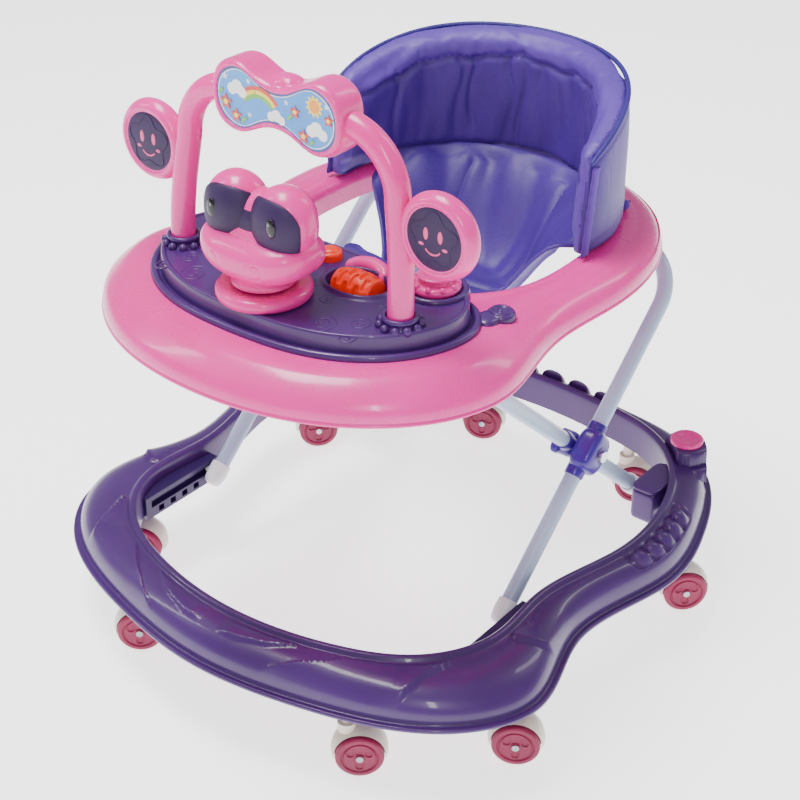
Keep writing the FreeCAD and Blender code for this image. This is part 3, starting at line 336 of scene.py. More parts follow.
def combine(tree, operation, first, second):
    """A math node on sockets or plain numbers."""
    node = tree.nodes.new("ShaderNodeMath")
    node.operation = operation
    for index, item in enumerate((first, second)):
        if isinstance(item, (int, float)):
            node.inputs[index].default_value = item
        else:
            tree.links.new(item, node.inputs[index])
    return node.outputs[0]


def moulded_group():
    """Moulded plastic: cloudy tint, fine orange peel, faint scuffs and settled dust."""
    tree, start, end = group_tree("moulded_surface", ("Scuffs",), ("Tint", "Roughness", "Height"))
    vector = start.outputs["Vector"]
    cloud = noise(tree, vector, 9.0, 4.0)
    peel = noise(tree, vector, 420.0, 1.0)
    scuff = ramp(tree, noise(tree, vector, 60.0, 6.0, (1.0, 4.0, 9.0)), 0.60, 0.74)
    scuff = combine(tree, "MULTIPLY", scuff, start.outputs["Scuffs"])
    tree.links.new(ramp(tree, cloud, 0.3, 0.7), end.inputs["Tint"])
    rough = combine(tree, "ADD", combine(tree, "MULTIPLY", scuff, 0.22),
                    ramp(tree, noise(tree, vector, 26.0, 5.0), 0.3, 0.7, 0.0, 0.09))
    tree.links.new(rough, end.inputs["Roughness"])
    tree.links.new(combine(tree, "SUBTRACT", peel, combine(tree, "MULTIPLY", scuff, 0.6)),
                   end.inputs["Height"])
    return tree


def woven_group():
    """Woven nylon: threads at right angles, slubs and soft creases."""
    tree, start, end = group_tree("woven_surface", ("Threads",), ("Tint", "Weave", "Crease"))
    vector = start.outputs["Vector"]
    waves = []
    for direction in ("X", "Z"):
        wave = tree.nodes.new("ShaderNodeTexWave")
        wave.bands_direction = direction
        wave.inputs["Distortion"].default_value = 0.6
        wave.inputs["Detail"].default_value = 1.0
        tree.links.new(vector, wave.inputs["Vector"])
        tree.links.new(start.outputs["Threads"], wave.inputs["Scale"])
        waves.append(wave.outputs["Fac"])
    weave = combine(tree, "MULTIPLY", waves[0], waves[1])
    slub = noise(tree, vector, 220.0, 3.0, (1.0, 1.0, 6.0))
    tree.links.new(ramp(tree, combine(tree, "ADD", slub, noise(tree, vector, 14.0, 4.0)), 0.7, 1.3),
                   end.inputs["Tint"])
    tree.links.new(weave, end.inputs["Weave"])
    tree.links.new(noise(tree, vector, 34.0, 4.0, (1.0, 1.0, 0.35)), end.inputs["Crease"])
    return tree


def brushed_group():
    """Metal: fine drawing marks, stains and small pits."""
    tree, start, end = group_tree("drawn_metal", ("Marks",), ("Tint", "Roughness", "Height"))
    vector = start.outputs["Vector"]
    marks = noise(tree, vector, 500.0, 2.0, (1.0, 1.0, 0.08))
    stain = noise(tree, vector, 30.0, 5.0)
    tree.links.new(ramp(tree, stain, 0.35, 0.7), end.inputs["Tint"])
    tree.links.new(combine(tree, "MULTIPLY", ramp(tree, stain, 0.3, 0.7, 0.0, 0.25),
                           start.outputs["Marks"]), end.inputs["Roughness"])
    tree.links.new(marks, end.inputs["Height"])
    return tree


MOULDED = moulded_group()
WOVEN = woven_group()
DRAWN = brushed_group()


def material_start(name, tree_group, amount):
    """A material with its Principled shader and a surface group on Object coordinates."""
    material = bpy.data.materials.new(name)
    material.use_nodes = True
    tree = material.node_tree
    shader = tree.nodes["Principled BSDF"]
    place = tree.nodes.new("ShaderNodeTexCoord")
    surface = tree.nodes.new("ShaderNodeGroup")
    surface.node_tree = tree_group
    surface.inputs[1].default_value = amount
    tree.links.new(place.outputs["Object"], surface.inputs["Vector"])
    return material, tree, shader, surface


def tint(tree, shader, factor, colour, shade):
    """Base colour between two colours by a factor socket."""
    mix = tree.nodes.new("ShaderNodeMix")
    mix.data_type = "RGBA"
    mix.inputs["A"].default_value = linear(colour)
    mix.inputs["B"].default_value = linear(shade)
    tree.links.new(factor, mix.inputs["Factor"])
    tree.links.new(mix.outputs["Result"], shader.inputs["Base Color"])


def bump(tree, shader, height, strength, distance, under=None):
    """A bump node that feeds the shader's normal, on top of another if given."""
    node = tree.nodes.new("ShaderNodeBump")
    node.inputs["Strength"].default_value = strength
    node.inputs["Distance"].default_value = distance
    tree.links.new(height, node.inputs["Height"])
    if under is not None:
        tree.links.new(under, node.inputs["Normal"])
    tree.links.new(node.outputs["Normal"], shader.inputs["Normal"])
    return node.outputs["Normal"]


COAT_SHARE = 0.6


def plastic(name, colour, shade, roughness=0.22, coat=0.35, scuffs=0.5, soft=0.0, grain=0.25):
    """Moulded plastic with a cloudy tint, orange peel and light wear; soft lets some light in."""
    material, tree, shader, surface = material_start(name, MOULDED, scuffs)
    tint(tree, shader, surface.outputs["Tint"], colour, shade)
    tree.links.new(combine(tree, "ADD", surface.outputs["Roughness"], roughness),
                   shader.inputs["Roughness"])
    bump(tree, shader, surface.outputs["Height"], grain, 0.0002)
    shader.inputs["Coat Weight"].default_value = coat * COAT_SHARE
    shader.inputs["Specular IOR Level"].default_value = 0.4
    shader.inputs["Coat Roughness"].default_value = 0.06
    shader.inputs["Subsurface Weight"].default_value = soft
    shader.inputs["Subsurface Scale"].default_value = 0.004
    return material


def nylon(name, colour, shade, roughness=0.46, sheen=0.12, threads=260.0):
    """Satin nylon cloth: weave, slubs, soft creases and a light sheen."""
    material, tree, shader, surface = material_start(name, WOVEN, threads)
    tint(tree, shader, surface.outputs["Tint"], colour, shade)
    tree.links.new(ramp(tree, surface.outputs["Weave"], 0.0, 1.0, roughness + 0.08, roughness - 0.05),
                   shader.inputs["Roughness"])
    creases = bump(tree, shader, surface.outputs["Crease"], 0.55, 0.0022)
    bump(tree, shader, surface.outputs["Weave"], 0.35, 0.0002, creases)
    shader.inputs["Sheen Weight"].default_value = sheen
    shader.inputs["Sheen Roughness"].default_value = 0.35
    shader.inputs["Sheen Tint"].default_value = linear("B9A8FF")
    return material


def metal(name, colour, shade, roughness=0.22, marks=1.0):
    """Bright metal with drawing marks and faint stains."""
    material, tree, shader, surface = material_start(name, DRAWN, marks)
    tint(tree, shader, surface.outputs["Tint"], colour, shade)
    tree.links.new(combine(tree, "ADD", surface.outputs["Roughness"], roughness),
                   shader.inputs["Roughness"])
    bump(tree, shader, surface.outputs["Height"], 0.2, 0.0001)
    shader.inputs["Metallic"].default_value = 1.0
    return material


PURPLE = plastic("purple_shell", "46206A", "3B185B", roughness=0.3, coat=0.4, soft=0.04)
DARK_PURPLE = plastic("dark_purple_shell", "2C1750", "241244", roughness=0.34, coat=0.2)
PINK = plastic("pink_shell", "EE2E9E", "E5238F", roughness=0.24, coat=0.4, soft=0.1, scuffs=0.3)
PINK_RED = plastic("pink_wheel", "98164A", "83103E", roughness=0.4, coat=0.1, scuffs=0.9)
PINK_FACE = plastic("pink_print", "E8558F", "D94884", roughness=0.4, coat=0.1)
CREAM = plastic("cream_hood", "EFE6D8", "E2D5C2", roughness=0.3, coat=0.2, soft=0.1)
VIOLET = plastic("violet_clamp", "3D188F", "33137D", roughness=0.26, coat=0.3)
WHITE = plastic("white_plug", "F0F1F4", "DEE1E6", roughness=0.3, coat=0.2, soft=0.1)
ORANGE = plastic("orange_roller", "FF3600", "F52C00", roughness=0.26, coat=0.3, soft=0.12)
BLACK = plastic("black_gloss", "09090B", "050506", roughness=0.14, coat=0.25, scuffs=0.1, grain=0.05)
GREY_GLINT = plastic("grey_glint", "6E7078", "5A5C64", roughness=0.15, coat=0.6)
MASK = plastic("mask_purple", "2A0C44", "220A38", roughness=0.5, coat=0.0)
PAINT = plastic("tube_paint", "A9B9D2", "9BACC8", roughness=0.3, coat=0.35, scuffs=0.6)
STEEL = metal("steel_pins", "B9BCC2", "8E9198", roughness=0.3)
CHROME = metal("chrome_bolt", "E6E7EA", "C4C6CB", roughness=0.1)
SEAT = nylon("seat_nylon", "431F8A", "371874")
# A lighter copy of the seat nylon: painted highlight on the roll round the wall's rim and front edges.
SEAT_PAINTED_HIGHLIGHT = nylon("seat_painted_highlight", "5A38A4", "4E2F94", roughness=0.45, sheen=0.1)
PIPING = nylon("seat_piping", "2A0F7C", "220A6C", roughness=0.5, sheen=0.3, threads=420.0)
VELVET = nylon("edge_tape", "5A2C9C", "4C228A", roughness=0.85, sheen=0.9, threads=520.0)
STITCH = nylon("stitch_thread", "241268", "1B0C56", roughness=0.6, sheen=0.2, threads=900.0)
PRINT_COLOURS = {
    "navy": ("2B4FA0", "25468F"), "white": ("F7F8FA", "EEF0F3"), "sky": ("2F86DC", "4E9CE6"),
    "red": ("D6432F", "C93A28"), "orange": ("F09A2A", "E68E1E"), "yellow": ("F8DA4A", "F2CF38"),
    "green": ("6DBE45", "5FAE3A")}
PRINTS = {name: plastic("print_" + name, colour, shade, roughness=0.3, coat=0.5, scuffs=0.2)
          for name, (colour, shade) in PRINT_COLOURS.items()}


# ---------------------------------------------------------------- base ring

BASE_OUTER = closed_outline([
    (0, -377), (122, -359), (200, -333), (264, -290), (300, -222), (275, -112), (298, 30),
    (280, 125), (252, 188), (205, 238), (110, 254), (0, 262)])
BASE_INNER = closed_outline([
    (0, -321), (122, -300), (190, -263), (226, -200), (223, -120), (247, 0), (240, 90),
    (212, 155), (160, 202), (80, 222), (0, 228)])
BASE_CENTRE = (0, -60)
BASE_STEPS = 1300
FLANGE_TOP, LIP_TOP, CROWN = 88, 124, 119
BOSS = np.array([208, 200])
RIB_PLACES = (4, 26, 48, 70, 92)
BUMP_PITCH = 38


def base_columns():
    """Cross-section of the shell as band columns, and which of them may carry relief.
    The top is a quarter of a superellipse from the inner lip down to the outer flange."""
    turn = np.linspace(0, math.pi / 2, 30)
    share = np.sin(turn) ** 0.84
    level = FLANGE_TOP + (CROWN - FLANGE_TOP) * np.cos(turn) ** 0.9
    inner = [(0, 0, 0, 84), (0, 0, 0, 92), (0, 0, 0, 104), (0, 0, 0, 114), (0, 0.3, 0, 119),
             (0, 1.4, 0, 122.2), (0, 3.4, 0, 123.8), (0, 5.6, 0, LIP_TOP), (0, 7.6, 0, 123.2),
             (0, 9.0, 0, 121.4), (0, 10.2, 0, 119.6)]
    top = [(s, 12, 8, z) for s, z in zip(share, level)]
    outer = [(1, 0, 7.4, 86.9), (1, 0, 6.2, 86.3), (1, 0, 4.2, 86.4), (1, 0, 2.2, 87.0),
             (1, 0, 0.9, 86.6), (1, 0, 0.2, 85.4), (1, 0, 0, 84), (1, 0, 0.5, 82.6), (1, 0, 2, 82),
             (1, 0, 8, 82.4), (1, 0, 10.6, 84)]
    under = [(s, 15, 11, z - 3.2) for s, z in zip(share[::-3], level[::-3])]
    back = [(0, 6, 0, 116), (0, 3.2, 0, 110), (0, 3, 0, 96), (0, 2.8, 0, 84.5), (0, 1.5, 0, 83.4)]
    relief = np.array([0] * len(inner) + [1] * len(top) + [0] * (len(outer) + len(under) + len(back)))
    return inner + top + outer + under + back, relief, share


def fold(points, line, height, reach, side=1):
    """A moulded wave: a crest along a line that drops off steeply on one side and runs out softly
    on the other, fading at both ends of the line."""
    far, where, along = distance_to(points, line)
    signed = far * where * side
    rise = smooth_step(-2.2, 1.2, signed) * np.exp(-np.clip(signed, 0, None) / reach)
    return height * rise * smooth_step(0, 0.18, along) * smooth_step(0, 0.1, 1 - along)


# Moulded waves of the front lobes: crest line, height, how far they run out, and to which side.
WAVES = (
    ([(208, -334), (207, -312), (212, -282), (221, -250), (232, -222), (235, -196)], 5.0, 16, 1),
    ([(66, -362), (92, -348), (124, -326), (152, -300), (180, -274)], 4.0, 22, -1),
    ([(8, -352), (34, -350), (66, -340), (96, -322), (112, -306)], 3.5, 18, 1),
    ([(290, -158), (276, -166), (262, -178), (248, -186), (236, -182)], 5.0, 18, -1),
)
BOSS_STEPS = ((46, 101), (38, 117), (26.5, 133.5))
WAVES_END, ARM_START, REAR_START, BOSS_START = -60, 200, 200, 140
CHANNEL_Y, CHANNEL_HALF, CHANNEL_FLOOR = 48, 62, 108


def crest_of(away, power=2.4):
    """A rounded crest: 1 at zero, down to 0 at 1."""
    return np.sqrt(np.clip(1 - away ** power, 0, 1))


def base_relief(x, y, level, share):
    """Height of the top after its ribs, waves, bumps and corner bosses are added."""
    side = np.abs(x)
    front = y.ravel() < WAVES_END
    picked = np.stack([side.ravel(), y.ravel()], -1)[front]
    waves = np.zeros(x.size)
    for line, height, reach, run_out in WAVES:
        waves[front] += fold(picked, line, height, reach, run_out)
    out = level + waves.reshape(x.shape) * smooth_step(0, 0.12, share) * smooth_step(1, 0.72, share)
    arm = side > ARM_START
    along = np.abs(y - CHANNEL_Y)
    channel = np.where(arm & (along < CHANNEL_HALF), smooth_step(CHANNEL_HALF, 48, along), 0)
    channel = channel * smooth_step(0.0, 0.08, share) * smooth_step(0.86, 0.70, share)
    out = out + (np.minimum(out, CHANNEL_FLOOR) - out) * channel
    for place in RIB_PLACES:
        crest = crest_of(np.abs(y - place - 12 * (share - 0.4)) / 9.2)
        crest = crest * crest_of(np.abs(share - 0.42) / 0.40, 2.6)
        rib = np.where(arm, CHANNEL_FLOOR + 14.5 * crest - 9 * smooth_step(0.3, 0.9, share), 0)
        out = np.where((crest > 0.02) & arm, np.maximum(out, rib), out)
    for step in (-2, -1, 0, 1, 2):
        crest = crest_of(np.abs(x - step * BUMP_PITCH) / 14.5) * smooth_step(1.0, 0.80, share)
        out = np.where(y > REAR_START, out + 11 * crest * smooth_step(0, 0.06, share) * (out / CROWN),
                       out)
    away = np.hypot(side - BOSS[0], y - BOSS[1])
    steps = np.full(away.shape, 0.0)
    for radius, top in BOSS_STEPS:
        edge = np.clip((radius - away) / 5.5, 0, 1)
        level_here = top - 7 * (1 - np.sqrt(1 - (1 - edge) ** 2))
        steps = np.maximum(steps, np.where(away < radius, level_here, 0))
    return np.maximum(out, np.where(y > BOSS_START, steps, 0))


def base_shell():
    """The base ring: band between the two outlines with relief on its top, and the casters'
    sockets."""
    outer = even(BASE_OUTER, BASE_STEPS)
    inner = opposite(BASE_INNER, BASE_CENTRE, outer)
    columns, relief, share = base_columns()
    grid = band(outer, inner, columns)
    top = np.flatnonzero(relief)
    part = grid[:, top]
    grid[:, top, 2] = base_relief(part[..., 0], part[..., 1], part[..., 2],
                                  np.repeat(share[None], len(outer), 0))
    shell = skin(grid, wrap_rows=True, wrap_columns=True)
    sockets = [turned(rounded([(5.2, 76), (10.4, 76), (11, 78), (11, 104), (5.2, 104), (5.2, 76)], 1),
                      (x, y, 0), steps=24) for x, y, _ in CASTER_PIVOTS]
    return make("base_ring", [shell] + both(sockets), PURPLE, "base",
                ["base_shell"], sharp=60)


def bracket_housings():
    """Closed boxes on the inner wall over the rear pivots, with a lip round the top."""
    box = blob((206, 142, 91), (15.4, 29.6, 20.6), 7.0, 40, 64)
    lip = blob((206, 142, 112.6), (15.8, 30.2, 2.6), 5.0, 24, 64)
    return make("pivot_housings", both([box, lip]), PURPLE, "base",
                ["pivot_brackets"], sharp=50)


def corner_caps():
    """Pink caps, dished in the middle, on the two rear corner bosses."""
    profile = rounded([(0, 136.6), (7, 136.4), (12, 138.8), (17, 139), (18.4, 136.4), (18.2, 132),
                       (0, 132)], 3)
    cap = turned(profile, (BOSS[0], BOSS[1], 0))
    return make("corner_cap_pair", both([cap]), PINK, "base", ["corner_caps"])


# ---------------------------------------------------------------- casters

CASTER_PIVOTS = ((150, -322, -50), (258, -214, -58), (263, 92, -44), (112, 239, -62))
CASTER_NAMES = ("front", "bulge", "side", "rear")
WHEEL_TRAIL, WHEEL_LEVEL = 12, 24


def wheel_relief(radius, angle, height):
    """Three round dimples between the hub and the ring groove, as far apart as the thirds of a turn."""
    drop = np.zeros(radius.shape)
    for turn in (0.5, 0.5 + TURN / 3, 0.5 + 2 * TURN / 3):
        away = np.hypot(radius * np.cos(angle) - 10.4 * np.cos(turn),
                        radius * np.sin(angle) - 10.4 * np.sin(turn))
        drop -= 1.1 * smooth_step(4.2, 3.2, away) - 0.5 * bell(away - 4.6, 0.7)
    return np.where(height > 15.4, drop, 0)


def wheels(name, x, y, heading, body, nodes):
    """The twin wheels of a caster: a turned disc with a hub, three dimples, a ring groove and a
    rounded tread on each side of the rib."""
    turn = math.radians(heading)
    axle = np.array([math.cos(turn), math.sin(turn), 0])
    centre = np.array([x, y, WHEEL_LEVEL]) + WHEEL_TRAIL * np.array([-axle[1], axle[0], 0])
    face = [(2.1, 14.2), (2.2, 17.2), (4.6, 17.3), (5.4, 16.3)] + [(r, 16.3) for r in
                                                                 np.linspace(6, 15.4, 18)]
    face += [(16.0, 15.2), (17.0, 15.0), (17.8, 15.4), (18.4, 16.6), (20.4, 16.9), (22.6, 16.2),
             (23.8, 14.6), (24.0, 12.2), (24.0, 9.4), (23.6, 6.8), (22.4, 5.5), (18, 5.4),
             (2.1, 5.4), (2.1, 14.2)]
    discs = [turned(face, centre, axle * sign, 72, wheel_relief) for sign in (1, -1)]
    return make(name, discs, PINK_RED, body, nodes)


def all_wheels():
    """The wheel pairs of all eight casters."""
    for place, (x, y, heading) in zip(CASTER_NAMES, CASTER_PIVOTS):
        for side, sign in SIDES:
            tail = "%s_%s" % (place, side)
            wheels("wheel_pair_" + tail, sign * x, y, heading, "wheels_" + tail,
                   ["caster_wheels_" + tail])


# ---------------------------------------------------------------- folding frame

LEAN = math.radians(42)
LOWER, UPPER, BEND, TUBE = 182, 228, 60, 8.5
CROSSING = np.array([0, 137 - LOWER * math.cos(LEAN), 97 + LOWER * math.sin(LEAN)])
REAR_LEG_X, FRONT_LEG_X = 178, 198


def leaned(points, lean):
    """Points of a leg's own drawing, where +Y runs up the leg, turned about X at the crossing."""
    points = np.array(points, float)
    y = points[..., 1] * math.cos(lean) - points[..., 2] * math.sin(lean)
    z = points[..., 1] * math.sin(lean) + points[..., 2] * math.cos(lean)
    return np.stack([points[..., 0], y, z], -1) + CROSSING


def leaned_skin(one, lean):
    """A skin of a leg's own drawing, turned into its place."""
    return leaned(one[0], lean), one[1]


def leg_tube(name, half, lean, body, node):
    """Bent tube: straight legs, a quarter circle at each corner and a cross bar."""
    foot = -LOWER - 5
    corner = np.linspace(0, math.pi / 2, 24)
    right = np.stack([half - BEND + BEND * np.cos(corner), UPPER - BEND + BEND * np.sin(corner)], -1)
    straight = np.stack([np.full(12, half), np.linspace(foot, UPPER - BEND - 6, 12)], -1)
    flat = np.vstack([straight, right])
    flat = np.vstack([flat, flat[::-1] * (-1, 1)])
    path = np.column_stack([flat, np.zeros(len(flat))])
    tube = leaned_skin(swept(path, TUBE, (0, 0, 1), 32), lean)
    return make(name, [tube], PAINT, body, [node])


def clamp_block(side, sign):
    """Violet clamp round the front leg: a rounded block with a collar each way along the tube and
    a recessed seat for the bolt."""
    def press(points):
        points = points.copy()
        away = np.hypot(points[:, :, 1], points[:, :, 2])
        outer = points[:, :, 0] * sign > 0
        points[:, :, 0] -= np.where(outer, sign * 2.4 * smooth_step(9.5, 7.5, away), 0)
        return points

    middle = sign * (188.8 + 216) / 2
    body = blob((middle, 0, 0), (13.4, 22.5, 18.4), 3.6, 40, 64, shape=press)
    collar_low = turned(rounded([(8.6, 0), (9.8, 0), (10.2, 5), (9.9, 14), (8.6, 14)], 2),
                        (sign * FRONT_LEG_X, -30, 0), (0, 1, 0), 40)
    collar_high = turned(rounded([(8.6, 14), (9.9, 14), (10.2, 9), (9.8, 0), (8.6, 0)], 2),
                         (sign * FRONT_LEG_X, 16, 0), (0, 1, 0), 40)
    skins = [leaned_skin(one, LEAN) for one in (body, collar_low, collar_high)]
    return make("clamp_" + side, skins, VIOLET, "front_leg",
                ["cross_clamp_" + side])


def clips():
    """Clips round the rear leg at the crossing: a sleeve that thins to its ends, a wing and a pad."""
    skins = []
    for sign in (-1, 1):
        sleeve = turned(rounded([(8.6, -20), (9.8, -20), (10.2, -14), (10.8, 0), (10.2, 14),
                                 (9.8, 20), (8.6, 20), (8.6, -20)], 2),
                        (sign * REAR_LEG_X, 0, 0), (0, 1, 0), 40)
        wing = blob((sign * (REAR_LEG_X - 4), 17, 4), (5, 7, 12), 3.0, 20, 32)
        pad = turned(rounded([(0, 0), (13.6, 0), (13.8, 2), (13.8, 20), (0, 20)], 3),
                     (sign * 167, 0, 0), (sign, 0, 0), 48)
        skins += [leaned_skin(one, math.pi - LEAN) for one in (sleeve, wing, pad)]
    return make("crossing_clips", skins, VIOLET, "rear_leg", ["cross_clips"])


def foot_plugs():
    """White plugs: a rounded cap over the tube end, a knuckle across it and the peg or pin eye."""
    for name, half, lean, body, node, reach in (
            ("rail_plugs", FRONT_LEG_X, LEAN, "front_leg", "rail_feet", 16.5),
            ("pivot_plugs", REAR_LEG_X, math.pi - LEAN, "rear_leg", "pivot_feet", 10.4)):
        skins = []
        for sign in (-1, 1):
            cap = turned(rounded([(0, -15.5), (7, -15.2), (10.2, -11), (11, -4), (11.2, 8), (10.6, 11),
                                  (8.6, 11.4), (8.6, 6)], 3),
                         (sign * half, -LOWER, 0), (0, 1, 0), 40)
            knuckle = turned(rounded([(0, -9), (8.4, -9), (9, -6), (9, 4), (5, 6), (4, 8),
                                      (4, reach), (0, reach)], 2),
                             (sign * half, -LOWER, 0), (sign, 0, 0), 32)
            skins += [leaned_skin(one, lean) for one in (cap, knuckle)]
        make(name, skins, WHITE, body, [node])


# ---------------------------------------------------------------- tray ring

RING_OUTER = closed_outline([
    (0, -353), (99, -338), (172, -297), (216, -242), (229, -188), (220, -135), (208, -75),
    (212, 15), (200, 110), (150, 195), (80, 241), (0, 257)])
RING_OPENING = closed_outline([
    (0, -112), (85, -104), (132, -62), (147, 30), (133, 110), (80, 168), (0, 187)])
RING_CENTRE = (0, -20)
RING_STEPS = 1100


def tray_ring():
    """Bumper ring: a thin bottom lip, a fat rolled edge, a gently domed top that rises towards the
    toy tray, and a rounded drop into the seat opening."""
    outer = even(RING_OUTER, RING_STEPS)
    inner = opposite(RING_OPENING, RING_CENTRE, outer)
    columns = [(1, 0, 6.2, 384), (1, 0, 2.2, 381.8), (1, 0, 0.6, 381.6), (1, 0, 0, 382.6),
               (1, 0, 0.2, 384.0), (1, 0, 1.4, 384.8)]
    roll = np.linspace(0, math.pi / 2, 20)
    columns += [(1, 0, 1.2 + 26 * (1 - math.cos(t)) ** 1.15, 386.5 + 23.5 * math.sin(t) ** 1.1)
                for t in roll]
    columns += [(s, 13, 27.2, 410.2 + 1.6 * (1 - (2 * s - 1) ** 2)) for s in np.linspace(0.93, 0.07, 16)]
    drop = np.linspace(0, math.pi / 2, 14)
    columns += [(0, 13 * (1 - math.sin(t)) ** 1.2, 0, 411.0 - 13 * (1 - math.cos(t))) for t in drop]
    columns += [(0, 0, 0, z) for z in (395, 391, 387, 383.5, 382)]
    columns += [(0, 1.2, 0, 381.6), (0, 3, 0, 382.4), (0, 3.4, 0, 388), (0, 3.6, 0, 396),
                (0, 8, 0, 405), (0.1, 13, 27.2, 407.4), (0.5, 13, 27.2, 408.2),
                (0.9, 13, 27.2, 406.4), (1, 0, 15, 401), (1, 0, 6.6, 394), (1, 0, 4.4, 388)]
    grid = band(outer, inner, columns)
    y, z = grid[..., 1], grid[..., 2]
    share, _, inset, _ = np.array(columns).T
    rise = smooth_step(8, 34, np.where(share == 1, inset, 34)) * smooth_step(0.0, 0.5, share)
    forward = smooth_step(-60, -200, y)
    change = 7.5 * forward * rise[None] - 3.0 * smooth_step(40, 190, y)
    grid[..., 2] = z + change * (z > 398)
    return make("bumper_ring", [skin(grid, wrap_rows=True, wrap_columns=True)], PINK, "tray",
                ["tray_ring"], sharp=70)


# ---------------------------------------------------------------- toy tray

TRAY_LIP = closed_outline([
    (0, -300), (94, -287), (142, -258), (172, -215), (176, -160), (150, -128), (80, -124),
    (0, -123)])
TRAY_CENTRE = (0, -205)
TRAY_STEPS = 900
PLATE = 437.2
ROLLER = (56, -185, 433)
DIAL = (118, -148)
POST = (133, -219)
HEAD_Y = -250
BUTTON_Y = -158


def plate_relief(x, y):
    """The play plate: raised oval lips round the rollers with a well inside each, and a low dome."""
    side = np.abs(x)
    oval = np.sqrt(((side - ROLLER[0]) / 33.5) ** 2 + ((y - ROLLER[1]) / 25) ** 2)
    lip = 3.2 * bell(oval - 1.03, 0.085) + 1.2 * smooth_step(1.35, 1.0, oval)
    well = -21 * smooth_step(0.97, 0.88, oval)
    return PLATE + lip + well


def toy_tray():
    """Purple play tray: rolled lip, ledge, step wall with a bead, and the plate shrinking to its
    centre."""
    outer = even(TRAY_LIP, TRAY_STEPS)
    normal = outward(outer)
    edge = rounded([(2, 412), (0.4, 414), (0, 419), (0.8, 423.2), (4.4, 424.4), (7.0, 423), (8.2, 420.6),
                    (9.6, 420.6), (10.2, 424), (11.0, 434), (11.8, 438.2), (13.8, 438.9),
                    (15.6, 438.4), (16.4, 437.2)], 2)
    rim = outer[:, None, :] - normal[:, None, :] * edge[None, :, :1]
    rim = np.dstack([rim, np.repeat(edge[None, :, 1], len(outer), 0)])
    inside = outer - normal * 17
    scale = np.linspace(1, 0, 96)[:, None]
    centre = np.array(TRAY_CENTRE, float)
    plate = centre + (inside[:, None, :] - centre) * scale[None]
    plate = np.dstack([plate, plate_relief(plate[..., 0], plate[..., 1])])
    foot = np.dstack([outer[:, None, :] - normal[:, None, :] * 6, np.full((len(outer), 1), 412.2)])
    foot_in = np.dstack([outer[:, None, :] - normal[:, None, :] * 13, np.full((len(outer), 1), 413)])
    top = skin(np.concatenate([foot_in, foot, rim, plate], 1), wrap_rows=True)
    return make("play_tray", [top], PURPLE, "tray", ["toy_tray"], sharp=70)


def bead_ring(centre, ring, count, radius, lift=1.0):
    """Small domes in a circle."""
    turns = np.arange(count) / count * TURN
    return [blob((centre[0] + ring * math.cos(t), centre[1] + ring * math.sin(t), centre[2]),
                 (radius, radius, radius * lift), 2.0, 12, 16) for t in turns]


def swirl(x, y, radius, turns, start):
    """A flat spiral bead: the radius grows evenly with the angle."""
    angle = np.linspace(0, turns * TURN, int(40 * turns))
    reach = radius * (0.12 + 0.88 * angle / angle[-1])
    path = np.stack([x + reach * np.cos(angle + start), y + reach * np.sin(angle + start),
                     np.full(len(angle), PLATE - 0.25)], -1)
    return swept(path, 0.75, (0, 0, 1), 8)


def tray_fittings():
    """Post collars with bead rings, raised dial seats, side ears with a ring button, and the faint
    moulded swirls of the plate."""
    collar = turned(rounded([(12.4, 434), (12.4, 447), (15.5, 447.6), (17.2, 445), (16.2, 442.6),
                             (15.4, 441), (17.5, 437), (21.5, 436.6), (21.5, 432)], 2),
                    (POST[0], POST[1], 0), steps=56)
    beads = bead_ring((POST[0], POST[1], 438.4), 18.6, 11, 4.3, 1.1)
    seat = turned(rounded([(0, 437.6), (24, 437.6), (24.6, 440), (27.6, 441.8), (31, 440), (31.6, 434),
                           (32.4, 424), (0, 424)], 3), (DIAL[0], DIAL[1], 0), steps=90)
    ear = turned(rounded([(0, 422.8), (2.6, 422.8), (3.4, 421.2), (6.6, 421.2), (7.4, 422.6),
                          (10.2, 422.8), (10.8, 421), (12.6, 420.6), (14, 418), (14.2, 411),
                          (0, 411)], 2), (171, -119, 0), steps=56)
    neck = blob((166, -133, 415), (12, 14, 6.5), 2.6, 20, 32)
    ear_beads = bead_ring((171, -119, 421.3), 8.9, 8, 1.3)
    swirls = [swirl(78, -262, 15, 2.2, 0.4), swirl(52, -222, 9, 1.6, 2.0), swirl(104, -240, 11, 1.8, 3.0),
              swirl(96, -198, 10, 1.8, 5.0), swirl(24, -206, 8, 1.5, 1.0), swirl(112, -268, 9, 1.5, 4.2)]
    return make("tray_fittings", both([collar, seat, ear, neck] + beads + ear_beads + swirls), PURPLE,
                "tray", sharp=60)


def pink_arcs():
    """Pink hoods behind the rollers."""
    angle = np.linspace(0.12 * math.pi, 0.88 * math.pi, 30)
    path = np.stack([46 + 22 * np.cos(angle), -163 + 13 * np.sin(angle), 436 + 4 * np.sin(angle)], -1)
    width = 5.2 + 2.4 * np.sin(angle)
    return make("roller_hoods", both([swept(path, width, (0, 0, 1), 20)]), PINK, "tray")


